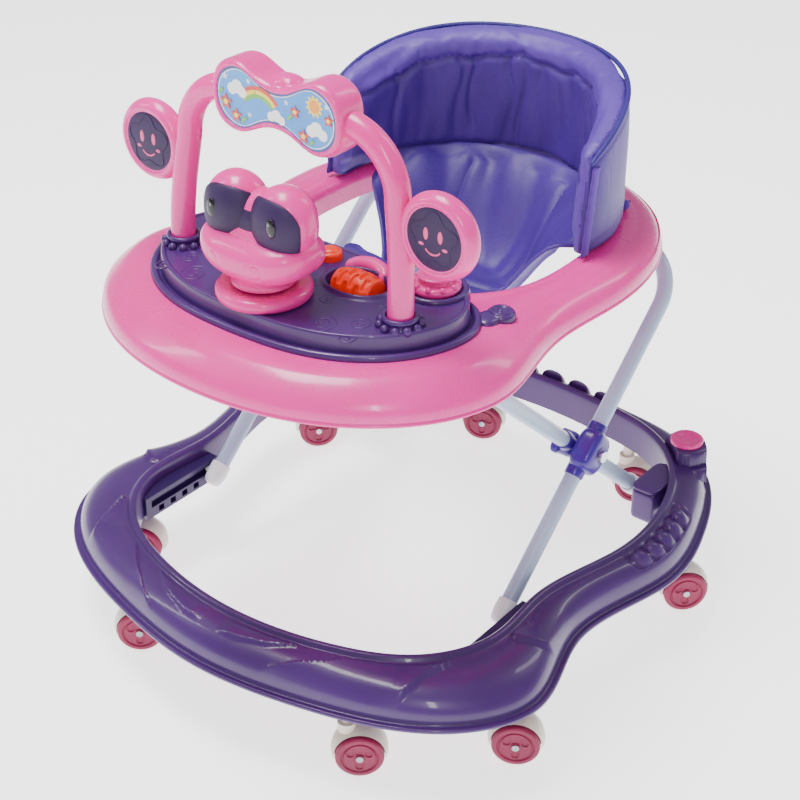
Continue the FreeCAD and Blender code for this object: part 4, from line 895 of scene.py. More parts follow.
def roller(side, sign):
    """Orange barrel on its axle: radius falls off towards the ends, with rings of slots that run
    round it, each ring half a slot on from the last, and turned end faces."""
    x, y, z = sign * ROLLER[0], ROLLER[1], ROLLER[2]
    place = np.concatenate([[-23, -23, -22.6], np.linspace(-22, 22, 110), [22.6, 23, 23]])
    angle = np.arange(180) / 180 * TURN
    bulge = 18.2 - 4.4 * (np.abs(place) / 23) ** 2.6
    bulge[[0, -1]] = 0
    bulge[[1, -2]] = 10.6
    bulge[[2, -3]] = 12.6
    along, around = np.meshgrid(place, angle, indexing="ij")
    depth = np.zeros(along.shape)
    for step, centre in enumerate(np.linspace(-16.5, 16.5, 6)):
        local = (around / TURN * 5 + 0.5 * (step % 2) + 0.25) % 1 - 0.5
        across = np.hypot(np.abs(along - centre) / 2.5, np.clip(np.abs(local) - 0.24, 0, 1) * 9)
        depth = np.maximum(depth, smooth_step(1.15, 0.7, across))
    radius = bulge[:, None] - 3.4 * depth * (bulge[:, None] > 13)
    grid = np.stack([x + along, y + radius * np.cos(around), z + radius * np.sin(around)], -1)
    return make("barrel_roller_" + side, [skin(grid, wrap_columns=True)], ORANGE, "roller_" + side[0],
                ["roller_" + side], sharp=60)


def dial(side, sign):
    """Pink round dial: a wide foot, a neck groove with beads in it, a ring on top and a sunk
    centre."""
    centre = (sign * DIAL[0], DIAL[1], 0)
    profile = rounded([(4.3, 439), (21, 438.6), (23.4, 440), (23.6, 443.6), (21.2, 446.4), (17.4, 447.4),
                       (15.6, 448.2), (15.8, 451), (18.0, 452.6), (16.8, 454.6), (12.6, 455),
                       (10.6, 454), (8.6, 453.8), (6.2, 455), (4.6, 454.2), (4.3, 450), (4.3, 439)], 2)
    body = turned(profile, centre, steps=96)
    beads = bead_ring((centre[0], centre[1], 445.4), 20.3, 10, 3.1, 1.1)
    notches = bead_ring((centre[0], centre[1], 454.2), 14.7, 14, 0.9)
    return make("round_dial_" + side, [body] + beads + notches, PINK, "dial_" + side[0],
                ["dial_" + side])


def squeaker():
    """Orange press button: a domed cap with a ring and the flange that keeps it in the tray."""
    profile = rounded([(0, 448.4), (5, 448.2), (8, 446.6), (8.8, 445.2), (10.6, 445), (11.8, 443),
                       (11.9, 434.2), (15, 433.6), (15, 431.4), (0, 431.2)], 2)
    return make("press_button", [turned(profile, (0, BUTTON_Y, 0))], ORANGE, "button",
                ["centre_button"])


# ---------------------------------------------------------------- toy head

EYE_X, EYE_LEVEL = 28.5, 515
EYE_RADII = (30, 26.5, 35)
EYE_POWER = 2.2


def lip_line(points):
    """The muzzle's relief: a fine ring on each cheek, a seam under it, and ends that curl up."""
    points = points.copy()
    x, z = points[..., 0], points[..., 2].copy()
    front = points[..., 1] < 0
    ring = bell(np.hypot(np.abs(x) - 25, z + 2) - 7.4, 0.6)
    seam = bell(x, 0.6) * smooth_step(-4, -10, z)
    cheek = bell(np.abs(x) - 25, 0.5) * smooth_step(-10, -15, z)
    points[..., 1] += np.where(front, 0.8 * (ring + seam + cheek), 0)
    points[..., 2] += 7.0 * (x / 60) ** 2
    return points


def toy_head():
    """Frog-like head: two domed eye lobes that run down into a wide soft muzzle, a neck, and the
    round foot on the tray that it turns on."""
    muzzle = blob((0, HEAD_Y, 480.5), (60, 41, 23), 2.6, 120, 260, shape=lip_line)
    lobes = [blob((sign * EYE_X, HEAD_Y + 1, EYE_LEVEL), EYE_RADII, EYE_POWER, 64, 96)
             for sign in (-1, 1)]
    brow = blob((0, HEAD_Y + 3, 511), (24, 22, 28), 2.4, 48, 72)
    cheeks = blob((0, HEAD_Y + 4, 497), (56, 29, 19), 2.5, 48, 72)
    neck = turned(rounded([(0, 450.6), (31, 450.6), (29, 455), (30, 460), (36, 468), (38, 478), (0, 478)],
                          3), (0, HEAD_Y, 0), steps=72)
    make("frog_head", [muzzle, brow, cheeks, neck] + lobes, PINK, "head", ["toy_head"],
         sharp=60)
    profile = rounded([(0, 447.4), (27, 447.4), (32, 449.4), (39, 450.4), (44, 448), (45.4, 443.6),
                       (44.4, 438.6), (41, 437.4), (0, 437.4)], 3)
    make("head_foot", [turned(profile, (0, HEAD_Y, 0), steps=96)], PINK, "tray",
         ["toy_head_plinth"])


def eye_surface(heading, rise, out):
    """Points of the right eye lobe by heading from straight ahead and rise, moved out along the
    ray."""
    reach = soft(np.cos(rise), EYE_POWER)
    local = np.stack([reach * soft(np.sin(heading), EYE_POWER), -reach * soft(np.cos(heading), EYE_POWER),
                      soft(np.sin(rise), EYE_POWER) + 0 * heading], -1)
    return local * (np.array(EYE_RADII) + out[..., None]) + np.array([EYE_X, HEAD_Y + 1, EYE_LEVEL])


def eye_mask():
    """Purple mask over the front of both lobes: lenses whose upper edge is an arch that stays high
    where they meet, standing 1.6 mm proud with a border that sinks into the head, and a bridge
    between them. The pupils and their glints lie on it."""
    u = np.linspace(-1, 1, 110)[:, None]
    v = np.linspace(-1, 1, 60)[None, :]
    heading = math.radians(-10) + u * math.radians(78)
    arch = np.where(u > 0, np.clip(1 - np.abs(u) ** 2.6, 0, 1) ** 0.55, 1 - 0.42 * u ** 2)
    top, bottom = math.radians(52) * arch, math.radians(-36) + 0 * arch
    rise = (top + bottom) / 2 + v * (top - bottom) / 2
    border = np.clip(1 - np.maximum(np.abs(u) ** 14, np.abs(v) ** 12 + 0 * u), 0, 1)
    out = 1.6 * border ** 0.5 - 1.2 * (1 - border) ** 3
    front = eye_surface(heading + 0 * v, rise, out)
    back = eye_surface(heading + 0 * v, rise, out * 0 - 1.6)
    grid = np.concatenate([front, back[:, ::-1]], 1)
    closed = np.concatenate([grid, grid[:, :1]], 1)
    patch = skin(capped(closed))
    bridge = blob((0, HEAD_Y - 7, 507), (25, 14.6, 23.5), 2.3, 48, 72)
    make("eye_mask", both([patch]) + [bridge], MASK, "head", ["toy_head_mask"], sharp=60)
    flat = np.zeros((1, 1))
    centre = eye_surface(flat + math.radians(11), flat + math.radians(8), flat + 1.0)[0, 0]
    pupil = blob(centre, (5.2, 2.2, 9.2), 2.0, 28, 40)
    make("pupils", both([pupil]), BLACK, "head", ["toy_head_pupils"])
    glints = [blob(centre + (-0.6, -2.0, 4.4), (1.3, 0.5, 1.7), 2.0, 12, 16),
              blob(centre + (0.8, -1.9, -4.8), (1.5, 0.4, 1.1), 2.0, 12, 16)]
    make("pupil_glints", both(glints), GREY_GLINT, "head")


# ---------------------------------------------------------------- arch and picture box

ARCH_Y, ARCH_LEAN = -219, 9
BOX_Y = ARCH_Y + ARCH_LEAN
BOX_HALF, BOX_LOW, BOX_HIGH, BOX_WAIST, BOX_DEPTH = 75, 574, 641, 13, 36
BOX_MIDDLE = (BOX_LOW + BOX_HIGH) / 2


def arch():
    """Pink arch: legs that lean in from the posts and curve over into the picture box. Quarter
    circles join them to the straight bar."""
    turn = np.linspace(0, math.pi / 2, 30)
    leg_z = np.linspace(428, 549, 30)
    rise = (leg_z - 428) / 121
    leg_x = 133 - 9 * rise ** 1.4 + 2.2 * np.sin(math.pi * rise)
    corner = np.stack([124 - 58 + 58 * np.cos(turn), 549 + 58 * np.sin(turn)], -1)
    half = np.vstack([np.stack([leg_x, leg_z], -1)[:-1], corner, [[40, 607]]])
    whole = np.vstack([half, half[::-1] * (-1, 1)])
    back = ARCH_Y + ARCH_LEAN * smooth_step(440, 570, whole[:, 1])
    path = np.column_stack([whole[:, 0], back, whole[:, 1]])
    return make("play_arch", [swept(path, 12, (0, 1, 0), 40)], PINK, "tray",
                ["arch_tube"])


def bow_outline(inset, count=240):
    """Bow-tie outline as a loop of (x, z): round lobes left and right, drawn in at the middle."""
    half, low, high = BOX_HALF - inset, BOX_LOW + inset, BOX_HIGH - inset
    waist = BOX_WAIST + 0.16 * inset
    lobe = half * 0.60
    right = [(0, low + waist), (lobe * 0.5, low + waist * 0.62), (lobe, low), (half - 6, low + 9),
             (half, BOX_MIDDLE), (half - 6, high - 9), (lobe, high), (lobe * 0.5, high - waist * 0.62),
             (0, high - waist)]
    return even(closed_outline(right), count)


def layered(rows, count=240):
    """A solid from bow outlines: each row is (inset, depth) with None for the closing centre."""
    layers = []
    for inset, depth in rows:
        loop = np.repeat([[0.0, BOX_MIDDLE]], count, 0) if inset is None else bow_outline(inset, count)
        layers.append(np.column_stack([loop[:, 0], np.full(count, BOX_Y + depth), loop[:, 1]]))
    return skin(np.array(layers), wrap_columns=True)


def picture_box():
    """Pink bow-shaped box with a rolled rim round the picture, and a knot bulge over its waist."""
    front = -BOX_DEPTH / 2
    edge = rounded([(10, 18), (4, 18), (0.6, 15.5), (0, 9), (0, -9), (0.3, -13.6), (1.8, -17.2),
                    (3.6, -18), (5.2, -17.4), (5.8, -15.8)], 2)
    rows = [(None, 18)] + [tuple(row) for row in edge] + [(None, front + 2.4)]
    box = layered(rows)
    knot = blob((0, BOX_Y + 1.5, BOX_MIDDLE), (20, 16.6, 26.5), 2.6, 40, 64)
    dimple = blob((0, BOX_Y - 12, BOX_HIGH - 15.4), (9, 5.0, 3.0), 2.0, 20, 32)
    return make("bow_box", [box, knot, dimple], PINK, "tray", ["picture_box"], sharp=60)


def flat_shape(outline, centre, layer, thickness=0.5):
    """A thin plate on the picture: a star-shaped outline (x, z) closed to its centre on both
    faces. Higher layers lie further forward."""
    front = BOX_Y - BOX_DEPTH / 2 + 1.6 - 0.12 * layer
    count = len(outline)
    middle = np.repeat([centre], count, 0).astype(float)
    rows = [(middle, front), (outline, front), (outline, front + thickness),
            (middle, front + thickness)]
    grid = np.array([np.column_stack([flat[:, 0], np.full(count, y), flat[:, 1]])
                     for flat, y in rows])
    return skin(grid, wrap_columns=True)


def petals(x, z, radius, count, depth, turn=0.0):
    """A flower or star outline: the radius swings with the angle that many times."""
    angle = np.arange(90) / 90 * TURN
    reach = radius * (1 - depth / 2 + depth / 2 * np.cos(count * (angle - turn)))
    return np.stack([x + reach * np.cos(angle), z + reach * np.sin(angle)], -1)


def arc_band(x, z, inner, outer, start, end):
    """A bent band as an outline that closes to the middle of its arc, in short pieces."""
    cuts = np.linspace(start, end, 13)
    pieces = []
    for low, high in zip(cuts[:-1], cuts[1:]):
        angle = np.linspace(low, high, 5)
        out = np.stack([x + outer * np.cos(angle), z + outer * np.sin(angle)], -1)
        back = np.stack([x + inner * np.cos(angle[::-1]), z + inner * np.sin(angle[::-1])], -1)
        pieces.append(np.vstack([out, back]))
    return pieces


def picture():
    """A plain picture: sky with clouds, a rainbow, a sun, flowers and stars inside a white line."""
    def put(name, colour, shapes, replaces=()):
        skins = [flat_shape(outline, centre, layer) for outline, centre, layer in shapes]
        return make(name, skins, PRINTS[colour], "tray", replaces, sharp=30)

    z = BOX_MIDDLE
    put("picture_edge", "navy", [(bow_outline(5.4), (0, z), 0)], ["picture_label"])
    put("picture_line", "white", [(bow_outline(7.4), (0, z), 1)])
    put("picture_sky", "sky", [(bow_outline(8.2), (0, z), 2)])
    for colour, inner in (("red", 25), ("yellow", 21.4), ("green", 17.8)):
        pieces = arc_band(-19, z - 13, inner, inner + 3.7, 0.20 * math.pi, 0.80 * math.pi)
        put("picture_bow_" + colour, colour, [(p, p.mean(0), 3) for p in pieces])
    clouds = [(-50, z + 7, 5.4), (-44, z + 10, 6.4), (-38, z + 6, 5.0), (42, z - 10, 5.4),
              (48, z - 7, 6.6), (55, z - 11, 5.2), (-4, z - 8, 4.4), (2, z - 6, 5.4), (8, z - 9, 4.2)]
    put("picture_clouds", "white", [(petals(x, h, r, 1, 0.0), (x, h), 4 + 0.5 * k)
                                    for k, (x, h, r) in enumerate(clouds)])
    put("picture_sun", "yellow", [(petals(46, z + 13, 10.0, 11, 0.34), (46, z + 13), 4)])
    put("picture_sun_core", "orange", [(petals(46, z + 13, 5.8, 1, 0.0), (46, z + 13), 5)])
    flowers = [(-58, z - 7, 7.2), (-46, z - 17, 6.4), (24, z + 3, 5.6), (33, z - 17, 6.4),
               (62, z + 4, 5.4)]
    put("picture_flowers", "red", [(petals(x, h, r, 5, 0.55, 0.3), (x, h), 9) for x, h, r in flowers])
    put("picture_hearts", "yellow", [(petals(x, h, r * 0.36, 1, 0.0), (x, h), 10)
                                     for x, h, r in flowers])
    leaves = [(-64, z + 2, 3.6), (-37, z - 19, 4.0), (18, z - 3, 3.4), (42, z - 21, 3.4)]
    put("picture_leaves", "green", [(petals(x, h, r, 2, 0.7, 0.8), (x, h), 8) for x, h, r in leaves])
    stars = [(-58, z + 17, 3.4), (-30, z + 18, 2.6), (60, z + 16, 2.8), (14, z + 9, 2.6),
             (-30, z - 13, 2.4)]
    put("picture_stars", "white", [(petals(x, h, r, 5, 0.8, 0.3), (x, h), 5) for x, h, r in stars])


# ---------------------------------------------------------------- star plaques

PLAQUE = (170, ARCH_Y + 8, 531)


def plaques():
    """Round plaques on the arch legs: a fat rolled rim, a slightly domed face with a raised star
    line, two oval eyes, cheek dashes and a smile."""
    x, y, z = PLAQUE
    profile = rounded([(0, -10.6), (28, -10.6), (36, -9.4), (40, -3), (40, 3), (37, 8.6), (33.6, 10.8),
                       (31, 10.4), (30.2, 8.6), (0, 8.0)], 3)
    bridge = blob((x - 39, y, z - 2), (11, 8.5, 20), 2.4, 28, 40)
    rims = [turned(profile, PLAQUE, (0, -1, 0), 110), bridge]
    make("plaque_rims", both(rims), PINK, "tray", ["medallion_rims"])
    disc = turned(rounded([(0, 10.8), (14, 10.5), (27, 9.6), (29.8, 8.6), (29.9, 6), (0, 6)], 2),
                  PLAQUE, (0, -1, 0), 90)
    angle = np.linspace(0, TURN, 161)[:-1]
    reach = 22.5 * (1 + 0.15 * np.cos(5 * (angle - math.pi / 2)))
    dome = y - 10.2 + 0.9 * (reach / 27) ** 2
    ridge = np.stack([x + reach * np.cos(angle), dome, z + reach * np.sin(angle)], -1)
    outline = swept(ridge, 0.9, (0, 1, 0), 10, closed=True)
    make("plaque_faces", both([disc, outline]), MASK, "tray", ["medallion_faces"])
    marks = []
    for side in (-1, 1):
        marks.append(blob((x + side * 7.6, y - 10.4, z + 4), (2.7, 1.0, 5.8), 2.0, 20, 28))
        marks.append(blob((x + side * 12.4, y - 10.2, z - 6.4), (3.0, 0.9, 1.7), 2.0, 16, 24))
    bend = np.linspace(1.22 * math.pi, 1.78 * math.pi, 24)
    smile = np.stack([x + 9.4 * np.cos(bend), np.full(24, y - 10.3), z - 4.4 + 9.4 * np.sin(bend)], -1)
    marks.append(swept(smile, 0.9, (0, 1, 0), 10))
    make("plaque_marks", both(marks), PINK_FACE, "tray")


# ---------------------------------------------------------------- seat

SEAT_CENTRE = np.array([0, 50])
SEAT_OUTER, SEAT_WALL, SEAT_FRONT, SEAT_FOOT = 165, 29, 28, 412.6
REAR_RIM, FRONT_RIM = 559, 512
SEAM_DOWN, STRETCHES = 26, 60


def rim_level(y):
    """Height of the padded wall: a soft curve from its front corners up to the back."""
    part = np.clip((y - SEAT_FRONT) / (SEAT_CENTRE[1] + SEAT_OUTER - SEAT_FRONT), 0, 1)
    return FRONT_RIM + (REAR_RIM - FRONT_RIM) * np.sin(part * math.pi / 2) ** 0.9


def wall_line(radius, samples=160):
    """Horseshoe line at a radius: straight arms and a half circle, by equal steps of length."""
    angle = np.linspace(0, math.pi, 200)
    curve = SEAT_CENTRE + radius * np.stack([np.cos(angle), np.sin(angle)], -1)
    arm = np.array([[radius, SEAT_FRONT]])
    line = np.vstack([arm, curve, arm * (-1, 1)])
    return at_length(line, np.linspace(0, lengths(line)[-1], samples))


def outside_of(line):
    """Unit directions out of the horseshoe, square to its line."""
    along = directions(line)
    return np.stack([along[:, 1], -along[:, 0]], -1)


def front_lean(level):
    """How far the front edges of the wall lean back at a height."""
    return 14 * (level - SEAT_FOOT) / 100 - 6


def wall_form():
    """The padded wall before it is stuffed: rows along the horseshoe, columns round its section,
    a little thinner than the finished wall, with leaning front edges."""
    around = np.arange(48) / 48 * TURN
    thick = SEAT_WALL / 2 - 2.2
    cosine, sine = np.cos(around), np.sin(around)
    corner = thick * 0.8
    line = wall_line(SEAT_OUTER - SEAT_WALL / 2 - 1)
    out = outside_of(line)
    ends = np.minimum(np.arange(len(line)), np.arange(len(line))[::-1]) / 5.0
    close = np.clip(ends, 0, 1) ** 0.5
    top = rim_level(line[:, 1]) - 2.6
    low = SEAT_FOOT + 3.0
    half = (top - low)[:, None] / 2 - corner * (1 - close[:, None])
    level = (top + low)[:, None] / 2 + (half - corner) * np.clip(4 * sine, -1, 1) + corner * sine
    wide = (thick - corner) * np.clip(4 * cosine, -1, 1) + corner * cosine
    flat = line[:, None, :] + out[:, None, :] * wide[None, :, None] * close[:, None, None]
    lean = front_lean(level) * smooth_step(90, SEAT_FRONT, flat[..., 1])
    flat = flat + np.dstack([0 * lean, lean])
    return skin(capped(np.dstack([flat, level])), wrap_columns=True)


def stuffed(piece, voxel, pressure, cap, frames=18):
    """Swells a closed form as cloth under pressure without gravity, and keeps each point within
    cap of where it started. The result is written to the mesh."""
    remesh = piece.modifiers.new("even_cells", "REMESH")
    remesh.mode = "VOXEL"
    remesh.voxel_size = voxel
    depsgraph = bpy.context.evaluated_depsgraph_get()
    even_mesh = bpy.data.meshes.new_from_object(piece.evaluated_get(depsgraph))
    piece.modifiers.clear()
    piece.data = even_mesh
    start = np.empty(len(even_mesh.vertices) * 3)
    even_mesh.vertices.foreach_get("co", start)
    cloth = piece.modifiers.new("stuffing", "CLOTH")
    cloth.settings.use_pressure = True
    cloth.settings.uniform_pressure_force = pressure
    cloth.settings.quality = 5
    cloth.settings.effector_weights.gravity = 0
    cloth.settings.tension_stiffness = 12
    cloth.settings.compression_stiffness = 12
    cloth.collision_settings.use_collision = False
    cloth.point_cache.frame_start, cloth.point_cache.frame_end = 1, frames
    for step in range(1, frames + 1):
        bpy.context.scene.frame_set(step)
    done = piece.evaluated_get(bpy.context.evaluated_depsgraph_get()).to_mesh()
    moved = np.empty(len(start))
    done.vertices.foreach_get("co", moved)
    piece.evaluated_get(bpy.context.evaluated_depsgraph_get()).to_mesh_clear()
    piece.modifiers.clear()
    bpy.context.scene.frame_set(1)
    step = (moved - start).reshape(-1, 3)
    far = np.linalg.norm(step, axis=1)
    step *= np.minimum(1, cap / np.maximum(far, 1e-9))[:, None]
    even_mesh.vertices.foreach_set("co", (start.reshape(-1, 3) + step).ravel())
    even_mesh.update()


def subdivided(piece):
    """One smooth subdivision, written to the mesh."""
    finer = piece.modifiers.new("finer", "SUBSURF")
    finer.levels = finer.render_levels = 1
    mesh = bpy.data.meshes.new_from_object(piece.evaluated_get(bpy.context.evaluated_depsgraph_get()))
    piece.modifiers.clear()
    piece.data = mesh


def points_of(mesh):
    """Vertices of a mesh in drawing millimetres."""
    flat = np.empty(len(mesh.vertices) * 3)
    mesh.vertices.foreach_get("co", flat)
    return flat.reshape(-1, 3) / MM - FOOTPRINT


def put_points(mesh, points):
    """Writes drawing millimetres back to the mesh."""
    mesh.vertices.foreach_set("co", ((points + FOOTPRINT) * MM).ravel())
    mesh.update()


def wall_place(points):
    """Place along the horseshoe (0 right front to 1 left front), distance from its middle line
    outwards, and the outward direction, of points on the padded wall."""
    line = wall_line(SEAT_OUTER - SEAT_WALL / 2, 400)
    place = np.empty(len(points), int)
    for start in range(0, len(points), 4000):
        part = points[start:start + 4000, None, :2] - line[None]
        place[start:start + 4000] = (part ** 2).sum(-1).argmin(1)
    out = outside_of(line)[place]
    off = ((points[:, :2] - line[place]) * out).sum(-1)
    return place / 399, off, out


# Gathers of the inner face: place along the horseshoe, width and depth.
GATHERS = ((0.10, 0.014, 0.5), (0.21, 0.007, 0.7), (0.30, 0.007, 1.2), (0.335, 0.009, 1.0),
           (0.41, 0.016, 0.5), (0.49, 0.014, 0.5), (0.545, 0.007, 1.2), (0.58, 0.008, 1.3),
           (0.66, 0.008, 1.1), (0.695, 0.009, 0.8), (0.77, 0.014, 0.5), (0.85, 0.008, 0.8),
           (0.93, 0.014, 0.5))


def filled_out(mesh):
    """Moves the outer face, top and foot of the stuffed wall out to their full size, so that the
    cord lies on it and it stands on the ring: per stretch of the horseshoe, by what the outermost,
    highest and lowest points lack."""
    points = points_of(mesh)
    place, off, out = wall_place(points)
    stretch = np.minimum((place * STRETCHES).astype(int), STRETCHES - 1)
    widest, below_rim, foot = np.zeros(STRETCHES), np.full(STRETCHES, 99.0), np.full(STRETCHES, 999.0)
    np.maximum.at(widest, stretch, off)
    np.minimum.at(below_rim, stretch, rim_level(points[:, 1]) - points[:, 2])
    np.minimum.at(foot, stretch, points[:, 2])
    spots = (np.arange(STRETCHES) + 0.5) / STRETCHES
    lack = np.clip(SEAT_WALL / 2 - 0.6 - np.interp(place, spots, widest), 0, 12)
    rise = np.clip(np.interp(place, spots, below_rim) - 0.6, 0, 14)
    drop = np.clip(np.interp(place, spots, foot) - SEAT_FOOT - 0.3, 0, 14)
    points[:, :2] += out * (lack * smooth_step(-6, 8, off))[:, None]
    height = points[:, 2].copy()
    points[:, 2] += rise * smooth_step(430, 510, height) - drop * smooth_step(470, 425, height)
    put_points(mesh, points)


def gathered(mesh):
    """Presses the roll seam and its gathers into the inner face of the wall, a seam round the
    outer rim, and soft waves into both faces."""
    points = points_of(mesh)
    place, off, out = wall_place(points)
    top = rim_level(points[:, 1])
    down = top - points[:, 2]
    inner = smooth_step(0, -5, off)
    outer = smooth_step(0, 5, off)
    seam = SEAM_DOWN + 2.5 * np.sin(place * 31) + 1.5 * np.sin(place * 77)
    press = 4.2 * bell(down - seam, 3.4)
    below = smooth_step(seam - 2, seam + 12, down)
    reach = np.exp(-np.clip(down - seam, 0, None) / 60)
    for centre, width, depth in GATHERS:
        drift = centre + 0.012 * np.sin(points[:, 2] / 19 + centre * 40)
        press += 3.4 * depth * bell(place - drift, width) * below * (0.35 + 0.65 * reach)
        press += 2.2 * depth * bell(place - centre, width * 0.8) * bell(down - seam, 9)
    press += 0.7 * np.sin(place * 52 + 0.05 * points[:, 2]) * below
    press += 0.25 * np.sin(place * 160 + 2 * np.sin(points[:, 2] / 23)) * below
    press += 5.0 * smooth_step(436, 426, points[:, 2])
    ripple = 0.8 * np.sin(place * 46 + points[:, 2] / 31) + 0.5 * np.sin(place * 17 - points[:, 2] / 14)
    edge_seam = 1.4 * bell(down - 9, 1.6) + 0.9 * bell(points[:, 2] - 424, 2)
    shift = inner * press - outer * (edge_seam + 0.6 * ripple)
    points[:, :2] += out * shift[:, None]
    put_points(mesh, points)


def padded_wall():
    """The padded back wall: stuffed, subdivided once, brought to full size, then gathered. The roll
    round its rim and front edges has a lighter copy of the seat nylon, a painted highlight."""
    wall = mesh_object("seat_back_pad", [wall_form()])
    stuffed(wall, 0.0055, 4.0, 0.0045)
    subdivided(wall)
    filled_out(wall.data)
    gathered(wall.data)
    wall.data.shade_smooth()
    wall.data.materials.clear()
    wall.data.materials.append(SEAT)
    wall.data.materials.append(SEAT_PAINTED_HIGHLIGHT)
    points = points_of(wall.data)
    place, off, _ = wall_place(points)
    down = rim_level(points[:, 1]) - points[:, 2]
    # The roll at the top and front edges of the wall takes the lighter nylon as a painted highlight.
    roll = ((off < 8) & (down < 24)) | ((np.minimum(place, 1 - place) < 0.028) & (off < 7))
    corners = np.empty(len(wall.data.loops), int)
    wall.data.loops.foreach_get("vertex_index", corners)
    starts = np.empty(len(wall.data.polygons), int)
    wall.data.polygons.foreach_get("loop_start", starts)
    wall.data.polygons.foreach_set("material_index", roll[corners[starts]].astype(int))
    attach(wall, "tray")
    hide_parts("seat_back")
    return wall


def rim_cord():
    """A covered cord sewn along the outer rim of the wall, with thin ends."""
    inset, thick, samples, sides = 2.6, 2.6, 260, 14
    line = wall_line(SEAT_OUTER - inset, samples)
    level = rim_level(line[:, 1]) - inset
    back = 5.5 * smooth_step(90, SEAT_FRONT, line[:, 1])
    path = np.column_stack([line[:, 0], line[:, 1] + back, level])
    along = directions(path)
    out = np.cross(along, (0, 0, 1))
    out /= np.linalg.norm(out, axis=1)[:, None]
    up = np.cross(out, along)
    angle = np.arange(sides) / sides * TURN
    ring = out[:, None] * np.cos(angle)[None, :, None] + up[:, None] * np.sin(angle)[None, :, None]
    from_end = np.minimum(np.arange(samples), np.arange(samples)[::-1])
    taper = np.clip(from_end / 3, 0, 1) ** 0.5
    grid = path[:, None] + ring * (thick * taper)[:, None, None]
    return make("rim_cord", [skin(grid, wrap_columns=True)], PIPING, "tray")


def edge_tape():
    """Velvet tapes down the outer front edges, and the small tabs under the rear."""
    rows = np.linspace(0, 1, 60)[:, None]
    around = np.arange(20) / 20 * TURN
    z = 416 + rows * (FRONT_RIM - 424)
    width = 6.0 + 0.6 * np.sin(rows * 40)
    x = SEAT_OUTER - 2.0 + 1.7 * np.cos(around)[None, :] + 0 * rows
    y = SEAT_FRONT + 9 + front_lean(z) + width * soft(np.sin(around), 20 / 7)
    tape = skin(capped(np.dstack([x, y, z + 0 * around[None, :]])), wrap_columns=True)
    tab = blob((128, SEAT_CENTRE[1] + 108, 415), (7, 6, 5), 2.6, 16, 24)
    return make("edge_tapes", both([tape, tab]), VELVET, "tray", sharp=60)


SLING_Y = 42
SLING_EDGE = closed_outline([
    (0, -108), (38, -104), (46, -62), (62, -16), (98, 28), (137, 66), (133, 110), (80, 168),
    (0, 187)])


def sling_height(x, y):
    """Height of the sling seat: a bowl below the opening, higher to the rear, with soft folds and
    pressed seams."""
    reach = np.hypot(x / 128, (y - SLING_Y) / 132)
    bowl = 326 + 84 * smooth_step(0.34, 1.06, reach)
    rear = smooth_step(SLING_Y - 20, SLING_Y + 120, y)
    bowl = bowl + 10 * rear * smooth_step(0.5, 1.0, reach)
    angle = np.arctan2(y - SLING_Y, x)
    folds = 2.4 * np.sin(7 * angle + 3 * reach) + 1.6 * np.sin(15 * angle - 5 * reach)
    folds = folds + 1.4 * np.sin(x / 9 + y / 17)
    bowl = bowl + folds * smooth_step(0.25, 0.6, reach)
    for seam in SLING_SEAMS:
        far = distance_to(np.stack([x.ravel(), y.ravel()], -1), seam)[0].reshape(x.shape)
        bowl = bowl - 3.6 * bell(far, 3.4) + 1.2 * bell(far - 9, 6)
    return bowl


SLING_SEAMS = (
    [(-60, 150), (-58, 100), (-52, 50), (-44, 0), (-40, -60)],
    [(60, 150), (58, 100), (52, 50), (44, 0), (40, -60)],
    [(-110, 60), (-60, 52), (0, 48), (60, 52), (110, 60)],
    [(-84, -30), (-40, -44), (0, -48), (40, -44), (84, -30)],
)


def sling():
    """The sling seat: rays from its middle to its edge, with cloth thickness. The hem is held up to
    the ring at the rear and at the front tongue, and hangs free round the legs."""
    edge = even(SLING_EDGE, 300)
    inside = edge - outward(edge) * 4.0
    scale = np.linspace(1, 0, 90)[:, None]
    centre = np.array([0, SLING_Y])
    flat = centre + (inside[:, None, :] - centre) * scale[None]
    z = sling_height(flat[..., 0], flat[..., 1])
    held = smooth_step(40, 72, inside[:, 1]) + smooth_step(-96, -106, inside[:, 1])
    hem = smooth_step(0.90, 1.0, scale[None, :, 0]) * held[:, None]
    rear = smooth_step(60, 110, inside[:, 1])[:, None]
    z = z * (1 - hem) + hem * (401 + 26 * rear)
    piece = mesh_object("sling_seat", [skin(np.dstack([flat, z]), wrap_rows=True)])
    wall = piece.modifiers.new("cloth_thickness", "SOLIDIFY")
    wall.thickness = 0.0035
    wall.offset = 1.0
    piece.data.materials.append(SEAT)
    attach(piece, "tray")
    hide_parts("seat_sling")
    return piece


def stitches():
    """Dashes of thread beside the seams of the sling, left out where the leg holes are."""
    dash, pitch, beside = 3.4, 6.0, 5.0
    skins = []
    for seam in SLING_SEAMS:
        line = np.array(seam, float)
        for place in np.arange(3, lengths(line)[-1] - 3, pitch):
            ends = at_length(line, np.array([place - dash / 2, place + dash / 2]))
            run = (ends[1] - ends[0]) / dash
            ends = ends + beside * np.array([-run[1], run[0]])
            x, y = ends.mean(0)
            outside = np.hypot(x / 118, (y - SLING_Y) / 122) > 0.93
            if outside or (y < 40 and abs(x) > 40 + 0.8 * max(y + 60, 0)):
                continue
            path = np.column_stack([ends, sling_height(ends[:, 0], ends[:, 1]) + 0.3])
            skins.append(swept(path, 0.55, (0, 0, 1), 6))
    return make("sling_stitches", skins, STITCH, "tray")


# ---------------------------------------------------------------- finishes of the frame's own parts

